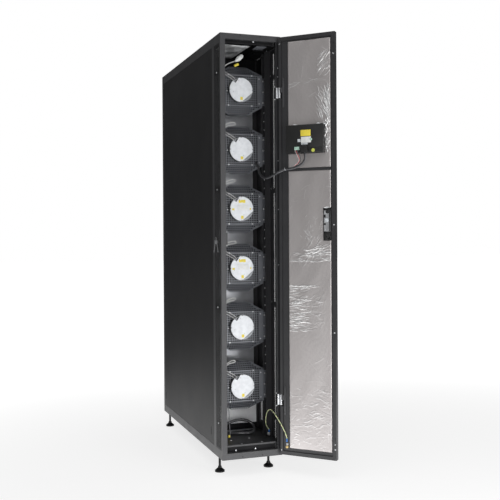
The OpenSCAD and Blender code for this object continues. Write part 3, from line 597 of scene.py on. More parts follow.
class Work:
    """One piece on the bench."""

    def __init__(self, name: str, obj: bpy.types.Object) -> None:
        """Names the piece and applies its place to its mesh.

        Args:
            name: the piece's name.
            obj: a mesh object.
        """
        self.obj = obj
        self.named(name)
        select_only(obj)
        bpy.ops.object.transform_apply(location=True, rotation=True, scale=True)

    def named(self, name: str) -> "Work":
        """Names the piece and its mesh."""
        self.obj.name = self.obj.data.name = name
        return self

    @classmethod
    def box(cls, name: str, low: Point, high: Point) -> "Work":
        """Starts from a block between two corners.

        Args:
            name: the piece's name.
            low: lowest corner.
            high: highest corner.

        Returns:
            The piece.
        """
        clear_selection()
        middle = [(a + b) / 2 for a, b in zip(low, high)]
        bpy.ops.mesh.primitive_cube_add(size=1, location=middle, scale=[b - a for a, b in zip(low, high)])
        return cls(name, bpy.context.object)

    @classmethod
    def rod(cls, name: str, start: Point, end: Point, radius: float, sides: int = 24,
            tip: Optional[float] = None) -> "Work":
        """Starts from a round rod or cone between two points.

        Args:
            name: the piece's name.
            start: centre of the first end.
            end: centre of the second end.
            radius: radius of the first end.
            sides: number of sides.
            tip: radius of the second end, the same unless given.

        Returns:
            The piece.
        """
        clear_selection()
        a, b = Vector(start), Vector(end)
        bpy.ops.mesh.primitive_cone_add(vertices=sides, radius1=radius,
                                        radius2=radius if tip is None else tip,
                                        depth=(b - a).length, location=(a + b) / 2,
                                        rotation=(b - a).to_track_quat("Z", "Y").to_euler())
        return cls(name, bpy.context.object)

    @classmethod
    def sheet(cls, name: str, across: int, along: int, width: float, length: float) -> "Work":
        """Starts from a flat grid in the x-y plane, centred on the origin.

        Args:
            name: the piece's name.
            across: cells along x.
            along: cells along y.
            width: size along x.
            length: size along y.

        Returns:
            The piece.
        """
        clear_selection()
        bpy.ops.mesh.primitive_grid_add(x_subdivisions=across, y_subdivisions=along, size=1,
                                        scale=(width, length, 1))
        made = bpy.context.object
        made.scale = (width, length, 1)
        return cls(name, made)

    @classmethod
    def ring(cls, name: str, at: Point, axis: Point, radius: float, thick: float,
             sides: int = 40) -> "Work":
        """Starts from a round ring about an axis.

        Args:
            name: the piece's name.
            at: its centre.
            axis: its axis.
            radius: radius of the ring's middle line.
            thick: radius of its round section.
            sides: number of sides.

        Returns:
            The piece.
        """
        clear_selection()
        turn = Vector(axis).to_track_quat("Z", "Y").to_euler()
        bpy.ops.mesh.primitive_torus_add(location=at, rotation=turn, major_radius=radius,
                                         minor_radius=thick, major_segments=sides, minor_segments=10)
        return cls(name, bpy.context.object)

    def pick(self, kind: Pick, test: Callable[[Vector, Vector], bool]) -> "Work":
        """Selects elements in edit mode by their place and direction.

        Args:
            kind: faces or edges.
            test: says whether an element at a point, with a normal or direction, is picked.

        Returns:
            The piece.
        """
        bpy.context.view_layer.objects.active = self.obj
        if self.obj.mode != "EDIT":
            bpy.ops.object.mode_set(mode="EDIT")
        bpy.context.tool_settings.mesh_select_mode = (False, kind is Pick.EDGE, kind is Pick.FACE)
        bpy.ops.mesh.select_all(action="DESELECT")
        mesh = bmesh.from_edit_mesh(self.obj.data)
        if kind is Pick.FACE:
            for face in mesh.faces:
                face.select = test(face.calc_center_median(), face.normal)
        else:
            for edge in mesh.edges:
                a, b = edge.verts[0].co, edge.verts[1].co
                edge.select = test((a + b) / 2, (b - a).normalized())
        mesh.select_flush_mode()
        bmesh.update_edit_mesh(self.obj.data)
        return self

    def bore(self, cutter: "Work") -> "Work":
        """Cuts another piece's form out of this one."""
        return self.modify("BOOLEAN", operation="DIFFERENCE", solver="EXACT", object=cutter.obj)

    def front(self) -> "Work":
        """Selects the faces that look towards -y."""
        return self.pick(Pick.FACE, lambda at, n: n.y < -FACING)

    def delete(self, test: Callable[[Vector, Vector], bool]) -> "Work":
        """Deletes the faces that a test picks."""
        return self.pick(Pick.FACE, test).do(bpy.ops.mesh.delete, type="FACE")

    def cut(self, at: Point, normal: Point, fill: bool = True) -> "Work":
        """Cuts off all that lies beyond a plane.

        Args:
            at: a point of the plane.
            normal: the direction of what is cut off.
            fill: True to close the cut.

        Returns:
            The piece.
        """
        self.pick(Pick.FACE, lambda middle, n: True)
        return self.do(bpy.ops.mesh.bisect, plane_co=tuple(at), plane_no=tuple(normal),
                       clear_outer=True, use_fill=fill)

    def do(self, operator: Callable, **settings: object) -> "Work":
        """Runs an edit-mode operator on what is picked."""
        operator(**settings)
        return self

    def inset(self, thickness: float, depth: float = 0.0, each: bool = False) -> "Work":
        """Insets the picked faces."""
        return self.do(bpy.ops.mesh.inset, thickness=thickness, depth=depth, use_individual=each)

    def pull(self, x: float = 0.0, y: float = 0.0, z: float = 0.0) -> "Work":
        """Extrudes what is picked along a vector."""
        return self.do(bpy.ops.mesh.extrude_region_move, TRANSFORM_OT_translate={"value": (x, y, z)})

    def bevel(self, offset: float, segments: int = 2) -> "Work":
        """Bevels the picked edges."""
        return self.do(bpy.ops.mesh.bevel, offset=offset, segments=segments, affect="EDGES")

    def done(self) -> "Work":
        """Leaves edit mode."""
        if self.obj.mode != "OBJECT":
            bpy.ops.object.mode_set(mode="OBJECT")
        return self

    def modify(self, kind: str, **settings: object) -> "Work":
        """Adds a modifier and applies it.

        Args:
            kind: the modifier's type.
            settings: its attributes.

        Returns:
            The piece.
        """
        select_only(self.obj)
        made = self.obj.modifiers.new("step", kind)
        for key, value in settings.items():
            setattr(made, key, value)
        bpy.ops.object.modifier_apply(modifier="step")
        return self

    def round_edges(self, width: float, segments: int = 2) -> "Work":
        """Rounds every sharp edge."""
        return self.modify("BEVEL", width=width, segments=segments, limit_method="ANGLE",
                           angle_limit=math.radians(35))

    def move(self, matrix: Matrix) -> "Work":
        """Moves the mesh itself, with its faces kept outwards where it is mirrored.

        Args:
            matrix: the move.

        Returns:
            The piece.
        """
        self.done()
        self.obj.data.transform(matrix)
        if matrix.to_3x3().determinant() < 0:
            self.obj.data.flip_normals()
        return self

    def copy(self, name: str, matrix: Matrix) -> "Work":
        """Makes a copy with its own mesh, moved.

        Args:
            name: the copy's name.
            matrix: its move.

        Returns:
            The copy.
        """
        select_only(self.obj)
        bpy.ops.object.duplicate(linked=False)
        return Work(name, bpy.context.object).move(matrix)

    def join(self, others: Iterable["Work"]) -> "Work":
        """Joins other pieces into this one.

        Args:
            others: the pieces.

        Returns:
            The joined piece.
        """
        select_only(self.obj)
        for other in others:
            other.obj.select_set(True)
        bpy.ops.object.join()
        return self

    def ship(self, body: Body, finish: Finish, *nodes: str, slot: Optional[str] = None,
             smooth: float = 40.0) -> bpy.types.Object:
        """Smooths, paints and mounts the piece.

        Args:
            body: the body that it rides on.
            finish: its finish.
            nodes: the nodes that it stands for.
            slot: not used.
            smooth: angle in degrees below which edges are smooth.

        Returns:
            The finished object.
        """
        select_only(self.obj)
        bpy.ops.object.shade_smooth_by_angle(angle=math.radians(smooth))
        self.obj.data.materials.clear()
        self.obj.data.materials.append(finish.material())
        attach(self.obj, body.value)
        if nodes:
            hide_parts(*nodes)
        LOG.info("%s on %s: %d faces", self.obj.name, body.value, len(self.obj.data.polygons))
        return self.obj


def gather(name: str, parts: Sequence[Work]) -> Work:
    """Joins parts into one named piece."""
    whole = parts[0].join(parts[1:]) if len(parts) > 1 else parts[0]
    return whole.named(name)


def block(low: Point, high: Point, soft: float = 0.0) -> Work:
    """Makes a block with softened edges.

    Args:
        low: lowest corner.
        high: highest corner.
        soft: width of the edge rounding.

    Returns:
        The block.
    """
    made = Work.box("block", low, high)
    return made.round_edges(soft) if soft else made


def post(name: str, x: float, z: float, start: float, end: float, radius: float, sides: int = 24,
         tip: Optional[float] = None) -> Work:
    """Makes a round rod or cone along y.

    Args:
        name: the rod's name.
        x: where it stands along x.
        z: its height.
        start: its first end along y.
        end: its second end along y.
        radius: radius of the first end.
        sides: number of sides.
        tip: radius of the second end, the same unless given.

    Returns:
        The rod.
    """
    return Work.rod(name, (x, start, z), (x, end, z), radius, sides, tip)


def perforated(width: float, length: float, pitch: float, bar: float, edge: float, thick: float,
               keep: Callable[[Vector], bool] = lambda at: True, staggered: bool = False) -> Work:
    """Makes a perforated sheet in the x-y plane, centred on the origin.

    Args:
        width: size along x.
        length: size along y.
        pitch: distance between holes in a row.
        bar: width of metal between neighbouring holes.
        edge: width of the plain border.
        thick: sheet thickness.
        keep: says where holes may be.
        staggered: True for round holes in staggered rows, False for square ones in line.

    Returns:
        The sheet.
    """
    if staggered:
        cell = pitch / math.sqrt(2)
        count = int((width + length) / pitch) + 3
        made = Work.sheet("perforated", count, count, count * cell, count * cell)
        made.move(Matrix.Rotation(math.pi / 4, 4, "Z"))
        made.delete(lambda at, _: abs(at.x) > width / 2 + cell or abs(at.y) > length / 2 + cell)
        for x, y in ((1, 0), (-1, 0), (0, 1), (0, -1)):
            made.cut((x * width / 2, y * length / 2, 0), (x, y, 0), fill=False)
    else:
        made = Work.sheet("perforated", round(width / pitch), round(length / pitch), width, length)
    made.pick(Pick.FACE, lambda at, _: (abs(at.x) < width / 2 - edge and abs(at.y) < length / 2 - edge
                                        and keep(at)))
    made.inset(bar / 2, each=True)
    if staggered:
        made.do(bpy.ops.mesh.bevel, offset=(pitch / math.sqrt(2) - bar) * 0.29, segments=1, affect="VERTICES")
        mesh = bmesh.from_edit_mesh(made.obj.data)
        for face in mesh.faces:
            face.select = len(face.verts) == 8
        bmesh.update_edit_mesh(made.obj.data)
    made.do(bpy.ops.mesh.delete, type="FACE")
    return made.modify("SOLIDIFY", thickness=thick, offset=0.0)


def tube(name: str, points: Sequence[Point], radius: float, sides: int = 10,
         taper: Sequence[float] = ()) -> Work:
    """Sweeps a round cord along points, with a map of metres along and turns around.

    Args:
        name: the cord's name.
        points: its centreline.
        radius: its radius.
        sides: sides of the round.
        taper: radii at the points where they differ.

    Returns:
        The cord.
    """
    line = [Vector(point) for point in points]
    rows, run, normal = [], [0.0], None
    for i, at in enumerate(line):
        ahead = (line[min(i + 1, len(line) - 1)] - line[max(i - 1, 0)]).normalized()
        if normal is None:
            normal = ahead.orthogonal().normalized()
        normal = (normal - ahead * normal.dot(ahead)).normalized()
        side = ahead.cross(normal)
        size = taper[i] if taper else radius
        rows.append([at + (normal * math.cos(a) + side * math.sin(a)) * size
                     for a in (2 * math.pi * k / sides for k in range(sides))])
        if i:
            run.append(run[-1] + (at - line[i - 1]).length)
    verts = [v for row in rows for v in row]
    faces, maps = [], []
    for i in range(len(rows) - 1):
        here, after = i * sides, (i + 1) * sides
        for k in range(sides):
            ahead = (k + 1) % sides
            faces.append((here + k, here + ahead, after + ahead, after + k))
            maps.append(((run[i], k / sides), (run[i], (k + 1) / sides),
                         (run[i + 1], (k + 1) / sides), (run[i + 1], k / sides)))
    faces += [tuple(range(sides - 1, -1, -1)), tuple((len(rows) - 1) * sides + k for k in range(sides))]
    maps += [tuple((0.0, 0.0) for _ in range(sides))] * 2
    mesh = bpy.data.meshes.new(name)
    mesh.from_pydata(verts, [], faces)
    layer = mesh.uv_layers.new(name="along")
    for face, spots in zip(mesh.polygons, maps):
        for loop, spot in zip(face.loop_indices, spots):
            layer.data[loop].uv = spot
    obj = bpy.data.objects.new(name, mesh)
    bpy.context.collection.objects.link(obj)
    return Work(name, obj)


def flow(points: Sequence[Point], steps: int) -> list[Vector]:
    """Runs a smooth curve through points.

    Args:
        points: the points.
        steps: pieces between neighbours.

    Returns:
        The points of the curve.
    """
    line = [Vector(point) for point in points]
    made = []
    for i in range(len(line) - 1):
        a, b, c, d = line[max(i - 1, 0)], line[i], line[i + 1], line[min(i + 2, len(line) - 1)]
        for k in range(steps):
            t = k / steps
            made.append(0.5 * (2 * b + (c - a) * t + (2 * a - 5 * b + 4 * c - d) * t ** 2
                               + (3 * b - 3 * c + d - a) * t ** 3))
    return made + [line[-1]]


def reach(points: Sequence[Vector]) -> float:
    """Measures a line of points."""
    return sum((b - a).length for a, b in zip(points, points[1:]))


def on_door(u: float, v: float, z: float) -> Vector:
    """Gives a point on the open door, in metres, from door sizes in millimetres."""
    return DOOR @ Vector((u * MM, v * MM, z * MM))


def in_mm(points: Sequence[Point]) -> list[Vector]:
    """Gives points in metres from points in millimetres."""
    return [Vector(point) * MM for point in points]


# --- camera, light and floor ------------------------------------------------------------------------
@dataclass
class Studio:
    """A plain pale floor, soft light and the camera."""

    place: tuple[float, float, float] = (-1.2901, -4.2628, 1.06405)
    yaw: float = 19.29574
    pitch: float = -0.007
    roll: float = -0.333136
    lens: float = 59.19
    shift: float = -0.0224
    floor_z: float = -0.085
    pool_at: tuple[float, float] = (0.3, -1.7)
    pool: float = 5.0
    glow: float = 1.05
    floor_dim: float = 0.12
    floor_white: float = 0.74
    floor_far: float = 0.3
    spot_at: tuple[float, float] = (-0.10, -0.86)
    spot: float = 1.1
    spot_size: float = 0.36
    left_glow: float = 0.46
    top_glow: float = 0.28
    surround: float = 0.05

    def camera(self) -> None:
        """Sets up the camera."""
        data = bpy.data.cameras.new("camera")
        data.lens, data.shift_y, data.sensor_width = self.lens, self.shift, 36.0
        data.clip_end = 100.0
        camera = bpy.data.objects.new("camera", data)
        bpy.context.collection.objects.link(camera)
        yaw, roll = math.radians(self.yaw), math.radians(self.roll)
        ahead = Vector((math.sin(yaw) * math.cos(self.pitch), math.cos(yaw) * math.cos(self.pitch),
                        math.sin(self.pitch)))
        right = Vector((math.cos(yaw), -math.sin(yaw), 0))
        up = right.cross(ahead)
        across = right * math.cos(roll) + up * math.sin(roll)
        above = up * math.cos(roll) - right * math.sin(roll)
        turn = Matrix((across, above, -ahead)).transposed().to_4x4()
        camera.matrix_world = Matrix.Translation(self.place) @ turn
        bpy.context.scene.camera = camera

    def lamp(self, name: str, at: Point, aim: Point, size: Point, power: float) -> None:
        """Adds a soft rectangular lamp.

        Args:
            name: the lamp's name.
            at: where it stands.
            aim: the point that it faces.
            size: width and height.
            power: watts.
        """
        data = bpy.data.lights.new(name, "AREA")
        data.shape, data.size, data.size_y, data.energy = "RECTANGLE", size[0], size[1], power
        lamp = bpy.data.objects.new(name, data)
        lamp.location = at
        lamp.rotation_euler = (Vector(aim) - Vector(at)).to_track_quat("-Z", "Y").to_euler()
        bpy.context.collection.objects.link(lamp)

    def floor(self) -> None:
        """Adds the floor, which shows white to the camera and keeps the shadow, and to other rays glows with
        painted pools of light near the cabinet.
        """
        bpy.ops.mesh.primitive_plane_add(size=60, location=(0, 0, self.floor_z))
        plane = bpy.context.object
        plane.name = "studio_floor"
        tree = Tree("floor_white")
        x, y, _ = tree.axes(tree.place())

        def apart(middle: tuple[float, float]) -> Sock:
            """Gives the squared distance from a place on the floor."""
            off_x, off_y = x - middle[0], y - middle[1]
            return off_x * off_x + off_y * off_y

        far = apart(self.pool_at).clip(1.0, self.pool * self.pool)
        near = apart(self.spot_at).clip(0.0, self.spot_size * self.spot_size)
        # painted pools of light that the floor gives off to the object
        level = (1.0 - far) * self.glow + (1.0 - near) * self.spot + self.floor_dim
        pool_glow = tree.node("ShaderNodeEmission", inputs={"Color": (1, 1, 1, 1), "Strength": level})
        part = tree.node("ShaderNodeBsdfDiffuse", inputs={"Color": (0.42, 0.42, 0.42, 1)})
        glow = tree.node("ShaderNodeEmission", inputs={"Color": (1, 1, 1, 1),
                                                       "Strength": far * self.floor_far + self.floor_white})
        seen = tree.node("ShaderNodeAddShader", inputs={0: glow, 1: part})
        path = tree.node("ShaderNodeLightPath", out="Is Camera Ray")
        tree.node_output(tree.node("ShaderNodeMixShader", inputs={0: path, 1: pool_glow, 2: seen}))
        plane.data.materials.append(tree.material)

    def world(self) -> None:
        """Sets a grey surround, brighter on the left in front and overhead, that the camera sees as white."""
        world = bpy.data.worlds.new("surround")
        bpy.context.scene.world = world
        tree = Tree("surround", world)
        x, y, z = tree.axes(tree.node("ShaderNodeTexCoord", out="Generated"))
        left = (x * -0.86 + y * -0.50 + z * -0.12).clip(0.25, 1.0)
        left = left * (1.0 - z.clip(-0.02, 0.26) * 0.88)
        level = left * self.left_glow + z.clip(0.0, 0.5) * self.top_glow + self.surround
        soft = tree.node("ShaderNodeBackground", inputs={"Strength": level})
        white = tree.node("ShaderNodeBackground", inputs={"Color": (1, 1, 1, 1), "Strength": 1.0})
        seen = tree.node("ShaderNodeLightPath", out="Is Camera Ray")
        seen = seen.larger(tree.node("ShaderNodeLightPath", out="Is Transmission Ray"))
        tree.node_output(tree.node("ShaderNodeMixShader", inputs={0: seen, 1: soft, 2: white}),
                         "ShaderNodeOutputWorld")

    def build(self) -> None:
        """Builds the whole set."""
        self.camera()
        self.floor()
        self.world()
        self.lamp("front_soft", (1.5, -4.2, 1.0), (0.1, -0.5, 0.9), (2.2, 3.2), 34)
        self.lamp("left_soft", (-1.3, -4.8, 1.1), (0.05, -0.4, 0.9), (1.6, 2.6), 42)
        self.lamp("low_soft", (1.1, -2.9, 0.25), (-0.05, -0.3, 0.15), (0.8, 0.35), 14)
        self.lamp("above_soft", (-0.6, -2.2, 4.2), (-0.4, -1.2, 0.0), (4.0, 3.0), 26)
        bpy.context.scene.view_settings.view_transform = "Standard"


# --- cords ------------------------------------------------------------------------------------------
@dataclass
class Cords:
    """Cables, earth wire, hose and leads."""

    cable_r: float = 2.7 * MM
    earth_r: float = 1.9 * MM
    hose_r: float = 7.0 * MM
    lead_r: float = 1.25 * MM

    def build(self) -> None:
        """Builds every cord."""
        self.controller_cables()
        self.earth_wire()
        self.hose()
        self.leads()
        self.head_cable()
        self.sensor_cable()
        self.loops()

    def cord(self, name: str, line: Sequence[Vector], radius: float, finish: Finish, body: Optional[Body],
             nodes: Sequence[str] = (), sides: int = 10,
             slot: Optional[str] = None) -> bpy.types.Object:
        """Makes one cord.

        Args:
            name: its name.
            line: its centreline in metres.
            radius: its radius.
            finish: its finish.
            body: the body that it rides on, or None to leave it on no body.
            nodes: the nodes that it stands for.
            sides: sides of its round.
            slot: the record's slot of its finish.

        Returns:
            The cord's object.
        """
        work = tube(name, line, radius, sides)
        if body is None:
            obj = work.obj
            select_only(obj)
            bpy.ops.object.shade_smooth_by_angle(angle=math.radians(50))
            obj.data.materials.append(finish.material())
            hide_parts(*nodes)
        else:
            obj = work.ship(body, finish, *nodes, slot=slot, smooth=50)
        reach(line)
        return obj

    def controller_cables(self) -> None:
        """Builds three cables side by side from the controller to the fan section."""
        door_run = ((146, -33, 1430), (146, -33, 1418), (141, -29, 1402), (122, -21, 1384),
                    (88, -14, 1371), (60, -14, 1366), (36, -14, 1364))
        wall_run = ((120, -640, 1350), (110, -590, 1338), (100, -545, 1330), (90, -505, 1338),
                    (84, -478, 1362), (82, -470, 1385), (81, -458, 1401), (81, -440.4, 1411))
        route = flow([on_door(*p) for p in door_run] + in_mm(wall_run), 5)
        route = [on_door(146, -33, 1437)] + route
        for number, (turn, finish) in enumerate(((0.3, CABLE), (2.4, CABLE_GREY), (4.5, CABLE)), 1):
            line, normal = [], None
            for i, at in enumerate(route):
                ahead = (route[min(i + 1, len(route) - 1)] - route[max(i - 1, 0)]).normalized()
                normal = normal or Vector((0.3, 0.2, 1)).cross(ahead).normalized()
                normal = (normal - ahead * normal.dot(ahead)).normalized()
                side, angle = ahead.cross(normal), turn + 1.6 * i / len(route)
                line.append(at + (normal * math.cos(angle) + side * math.sin(angle)) * 3.2 * MM)
            obj = self.cord(f"controller_cable_{number}", line, self.cable_r, finish, None,
                            ["controller_cable"], slot="cable_black")
            on_door(50, -14, 1364)
            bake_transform(obj)
        along = on_door(40, -14, 1366) - on_door(34, -14, 1363)
        tie = Work.ring("cable_tie", on_door(37, -13.6, 1364.3), along, 6.4 * MM, 0.9 * MM, 24)
        tie.ship(Body.DOOR, WHITE)

    def earth_wire(self) -> None:
        """Builds the striped wire between the cabinet's stud and the door."""
        run = ((150, -634, 118), (134, -622, 156), (118, -600, 190), (113, -568, 207), (108, -540, 209),
               (104, -516, 190), (104, -498, 152), (110, -487, 126), (119, -479, 110), (127, -475.8, 100),
               (130, -475, 91))
        line = [on_door(31, 3.5, 84)] + flow([on_door(31, 3.5, 92)] + in_mm(run), 5)
        line += in_mm([(130, -475, 84)])
        obj = self.cord("earth_wire_striped", line, self.earth_r, EARTH, None, ["earth_wire"],
                        slot="wire_earth")
        on_door(31, 3.5, 100)
        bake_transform(obj)
        crimps = (("earth_crimp_door", Body.DOOR, on_door(31, 3.5, 71), on_door(31, 3.5, 86)),
                  ("earth_crimp_wall", Body.CABINET, (0.130, -0.475, 0.083), (0.130, -0.475, 0.096)))
        for name, body, a, b in crimps:
            Work.rod(name, a, b, 3.9 * MM, 20, 3.3 * MM).round_edges(0.4 * MM).ship(body, BLUE)

    def hose(self) -> None:
        """Builds the condensate hose that loops on the tray."""
        run = ((-60, -95, 80), (-60, -200, 80), (-60, -285, 80), (-58, -302, 85), (-46, -318, 99),
               (-15, -330, 116), (25, -334, 123), (64, -338, 115), (88, -348, 98), (92, -368, 80),
               (76, -388, 70), (46, -394, 67.5), (10, -386, 67.5), (-28, -368, 67.5), (-64, -342, 69),
               (-90, -316, 75), (-100, -300, 80), (-100, -290, 80))
        line = flow(in_mm(run), 6) + in_mm([(-100, -282, 80)])
        self.cord("drain_hose_run", line, self.hose_r, HOSE, Body.CABINET, ["drain_hose"], sides=16,
                  slot="hose_rubber")
        clips = [Work.ring("clip", at, (0, 1, 0), 8.2 * MM, 1.4 * MM, 28)
                 for at in ((-0.060, -0.2795, 0.080), (-0.100, -0.2835, 0.080))]
        gather("hose_grommets", clips).ship(Body.CABINET, BOX_BLACK)

    def leads(self) -> None:
        """Builds the three leads of each motor."""
        run = [Vector(p) for p in ((-36, -464, 46), (-46, -466, 54), (-66, -466, 66), (-88, -464, 78),
                                   (-106, -458, 87), (-115, -454, 90), (-121, -453, 91))]
        strands = ((-5.8, LEAD_PALE), (0.0, CABLE_GREY), (5.8, LEAD_PALE))
        for number, z in enumerate(FAN_Z, 1):
            for side, (across, finish) in enumerate(strands, 1):
                away = Vector((across * 0.5, 0, across * 0.86 + z / MM))
                line = flow([(p + away) * MM for p in run], 5)
                self.cord(f"motor_lead_{number}_{side}", line, self.lead_r, finish, Body.CABINET,
                          ["fan_leads"] if number == 1 and side == 1 else (), sides=8, slot="lead_grey")

    def head_cable(self) -> None:
        """Builds the pale cable with its boot and yellow sleeve under the ceiling."""
        points = in_mm([(2, -480, 1927), (-4, -480, 1922), (-20, -480, 1908), (-36, -480, 1896)])
        boot = tube("head_boot", points, 9 * MM, 20, [6 * MM, 10 * MM, 12 * MM, 5 * MM])
        boot = boot.round_edges(1 * MM).ship(Body.CABINET, PAPER, smooth=60)
        points = in_mm([(-22, -484, 1882), (-30, -484, 1878), (-42, -484, 1872)])
        sleeve = tube("head_sleeve", points, 6 * MM, 14)
        sleeve = sleeve.round_edges(0.6 * MM).ship(Body.CABINET, YELLOW, smooth=60)
        run = ((-116, -460, 1836), (-98, -472, 1862), (-74, -478, 1881), (-54, -480, 1890),
               (-35, -480, 1897))
        line = in_mm([(-122, -456, 1812)]) + flow(in_mm(run), 5)
        self.cord("head_cable", line, 2.2 * MM, LEAD_PALE, Body.CABINET)

    def sensor_cable(self) -> None:
        """Builds the thin tagged cable that hangs in front of the lowest fan's lining."""
        tag = block((-0.0735, -0.4525, 0.067), (-0.0645, -0.4475, 0.079), 0.5 * MM)
        tag.named("sensor_tag").ship(Body.CABINET, YELLOW)
        run = ((-70, -438, 224), (-69, -444, 204), (-68, -449, 176), (-67, -451, 145),
               (-66, -451, 115), (-64, -451, 92), (-63, -450, 68))
        line = in_mm([(-70, -434, 236)]) + flow(in_mm(run), 5)
        self.cord("sensor_cable", line, 1.8 * MM, LEAD, Body.CABINET)

    def loops(self) -> None:
        """Builds the pale control wires that loop out of the duct between the fans."""
        for seed, top in enumerate((1.600, 1.322, 1.022, 0.744, 0.440)):
            draw = random.Random(seed)
            for strand in range(2):
                lift, out = strand * 2.6, draw.uniform(-5, 5)
                points = [(-122, -462 + 2.4 * strand, -30 + lift), (-112, -461, -29 + lift),
                          (-90, -458, -17 + lift), (-66, -454, -4 + lift),
                          (-44 + out, -452, 2 + lift), (-30 + out, -449, -3 + lift),
                          (-38 + out, -445, -10 + lift), (-64, -444, -15 + lift),
                          (-90, -446, -29 + lift), (-114, -448, -38 + lift), (-122, -449, -38 + lift)]
                line = flow([(p[0] * MM, p[1] * MM, top + p[2] * MM) for p in points], 5)
                self.cord(f"control_wire_{seed + 1}_{strand + 1}", line, 1.15 * MM, LEAD_PALE, Body.CABINET,
                          sides=8)


# --- cabinet ----------------------------------------------------------------------------------------
def across_x(side: int, y: float, z: float) -> Matrix:
    """Places a flat sheet's x along the cabinet's depth and its y upwards, on the left or right."""
    turn = Matrix(((0, 0, 1, 0), (1, 0, 0, 0), (0, 1, 0, 0), (0, 0, 0, 1)))
    return shift(side * (HALF_W - 0.5 * MM), y, z) @ turn


@dataclass
class Screw:
    """A pan head screw with a cross recess, its head towards -y."""

    radius: float = 4.3 * MM
    height: float = 2.4 * MM

    def build(self) -> Work:
        """Builds one screw with its face at the origin's -y side.

        Returns:
            The screw.
        """
        r, h = self.radius, self.height
        head = Work.rod("screw", (0, 0, 0), (0, -h, 0), r, 16)
        head.front().inset(r * 0.62)
        head.pull(y=h * 0.3)
        head.pick(Pick.EDGE, lambda at, d: at.y < -h * 0.95 and Vector((at.x, at.z)).length > r * 0.85)
        head.bevel(r * 0.3, 2)
        return head.done()


def row_of(name: str, master: Work, places: Iterable[Matrix]) -> Work:
    """Copies a piece to places, joins the copies and drops the first.

    Args:
        name: the joined piece's name.
        master: the piece that is copied.
        places: where the copies go.

    Returns:
        The joined piece.
    """
    made = [master.copy("copy", place) for place in places]
    drop(master.obj)
    return gather(name, made)


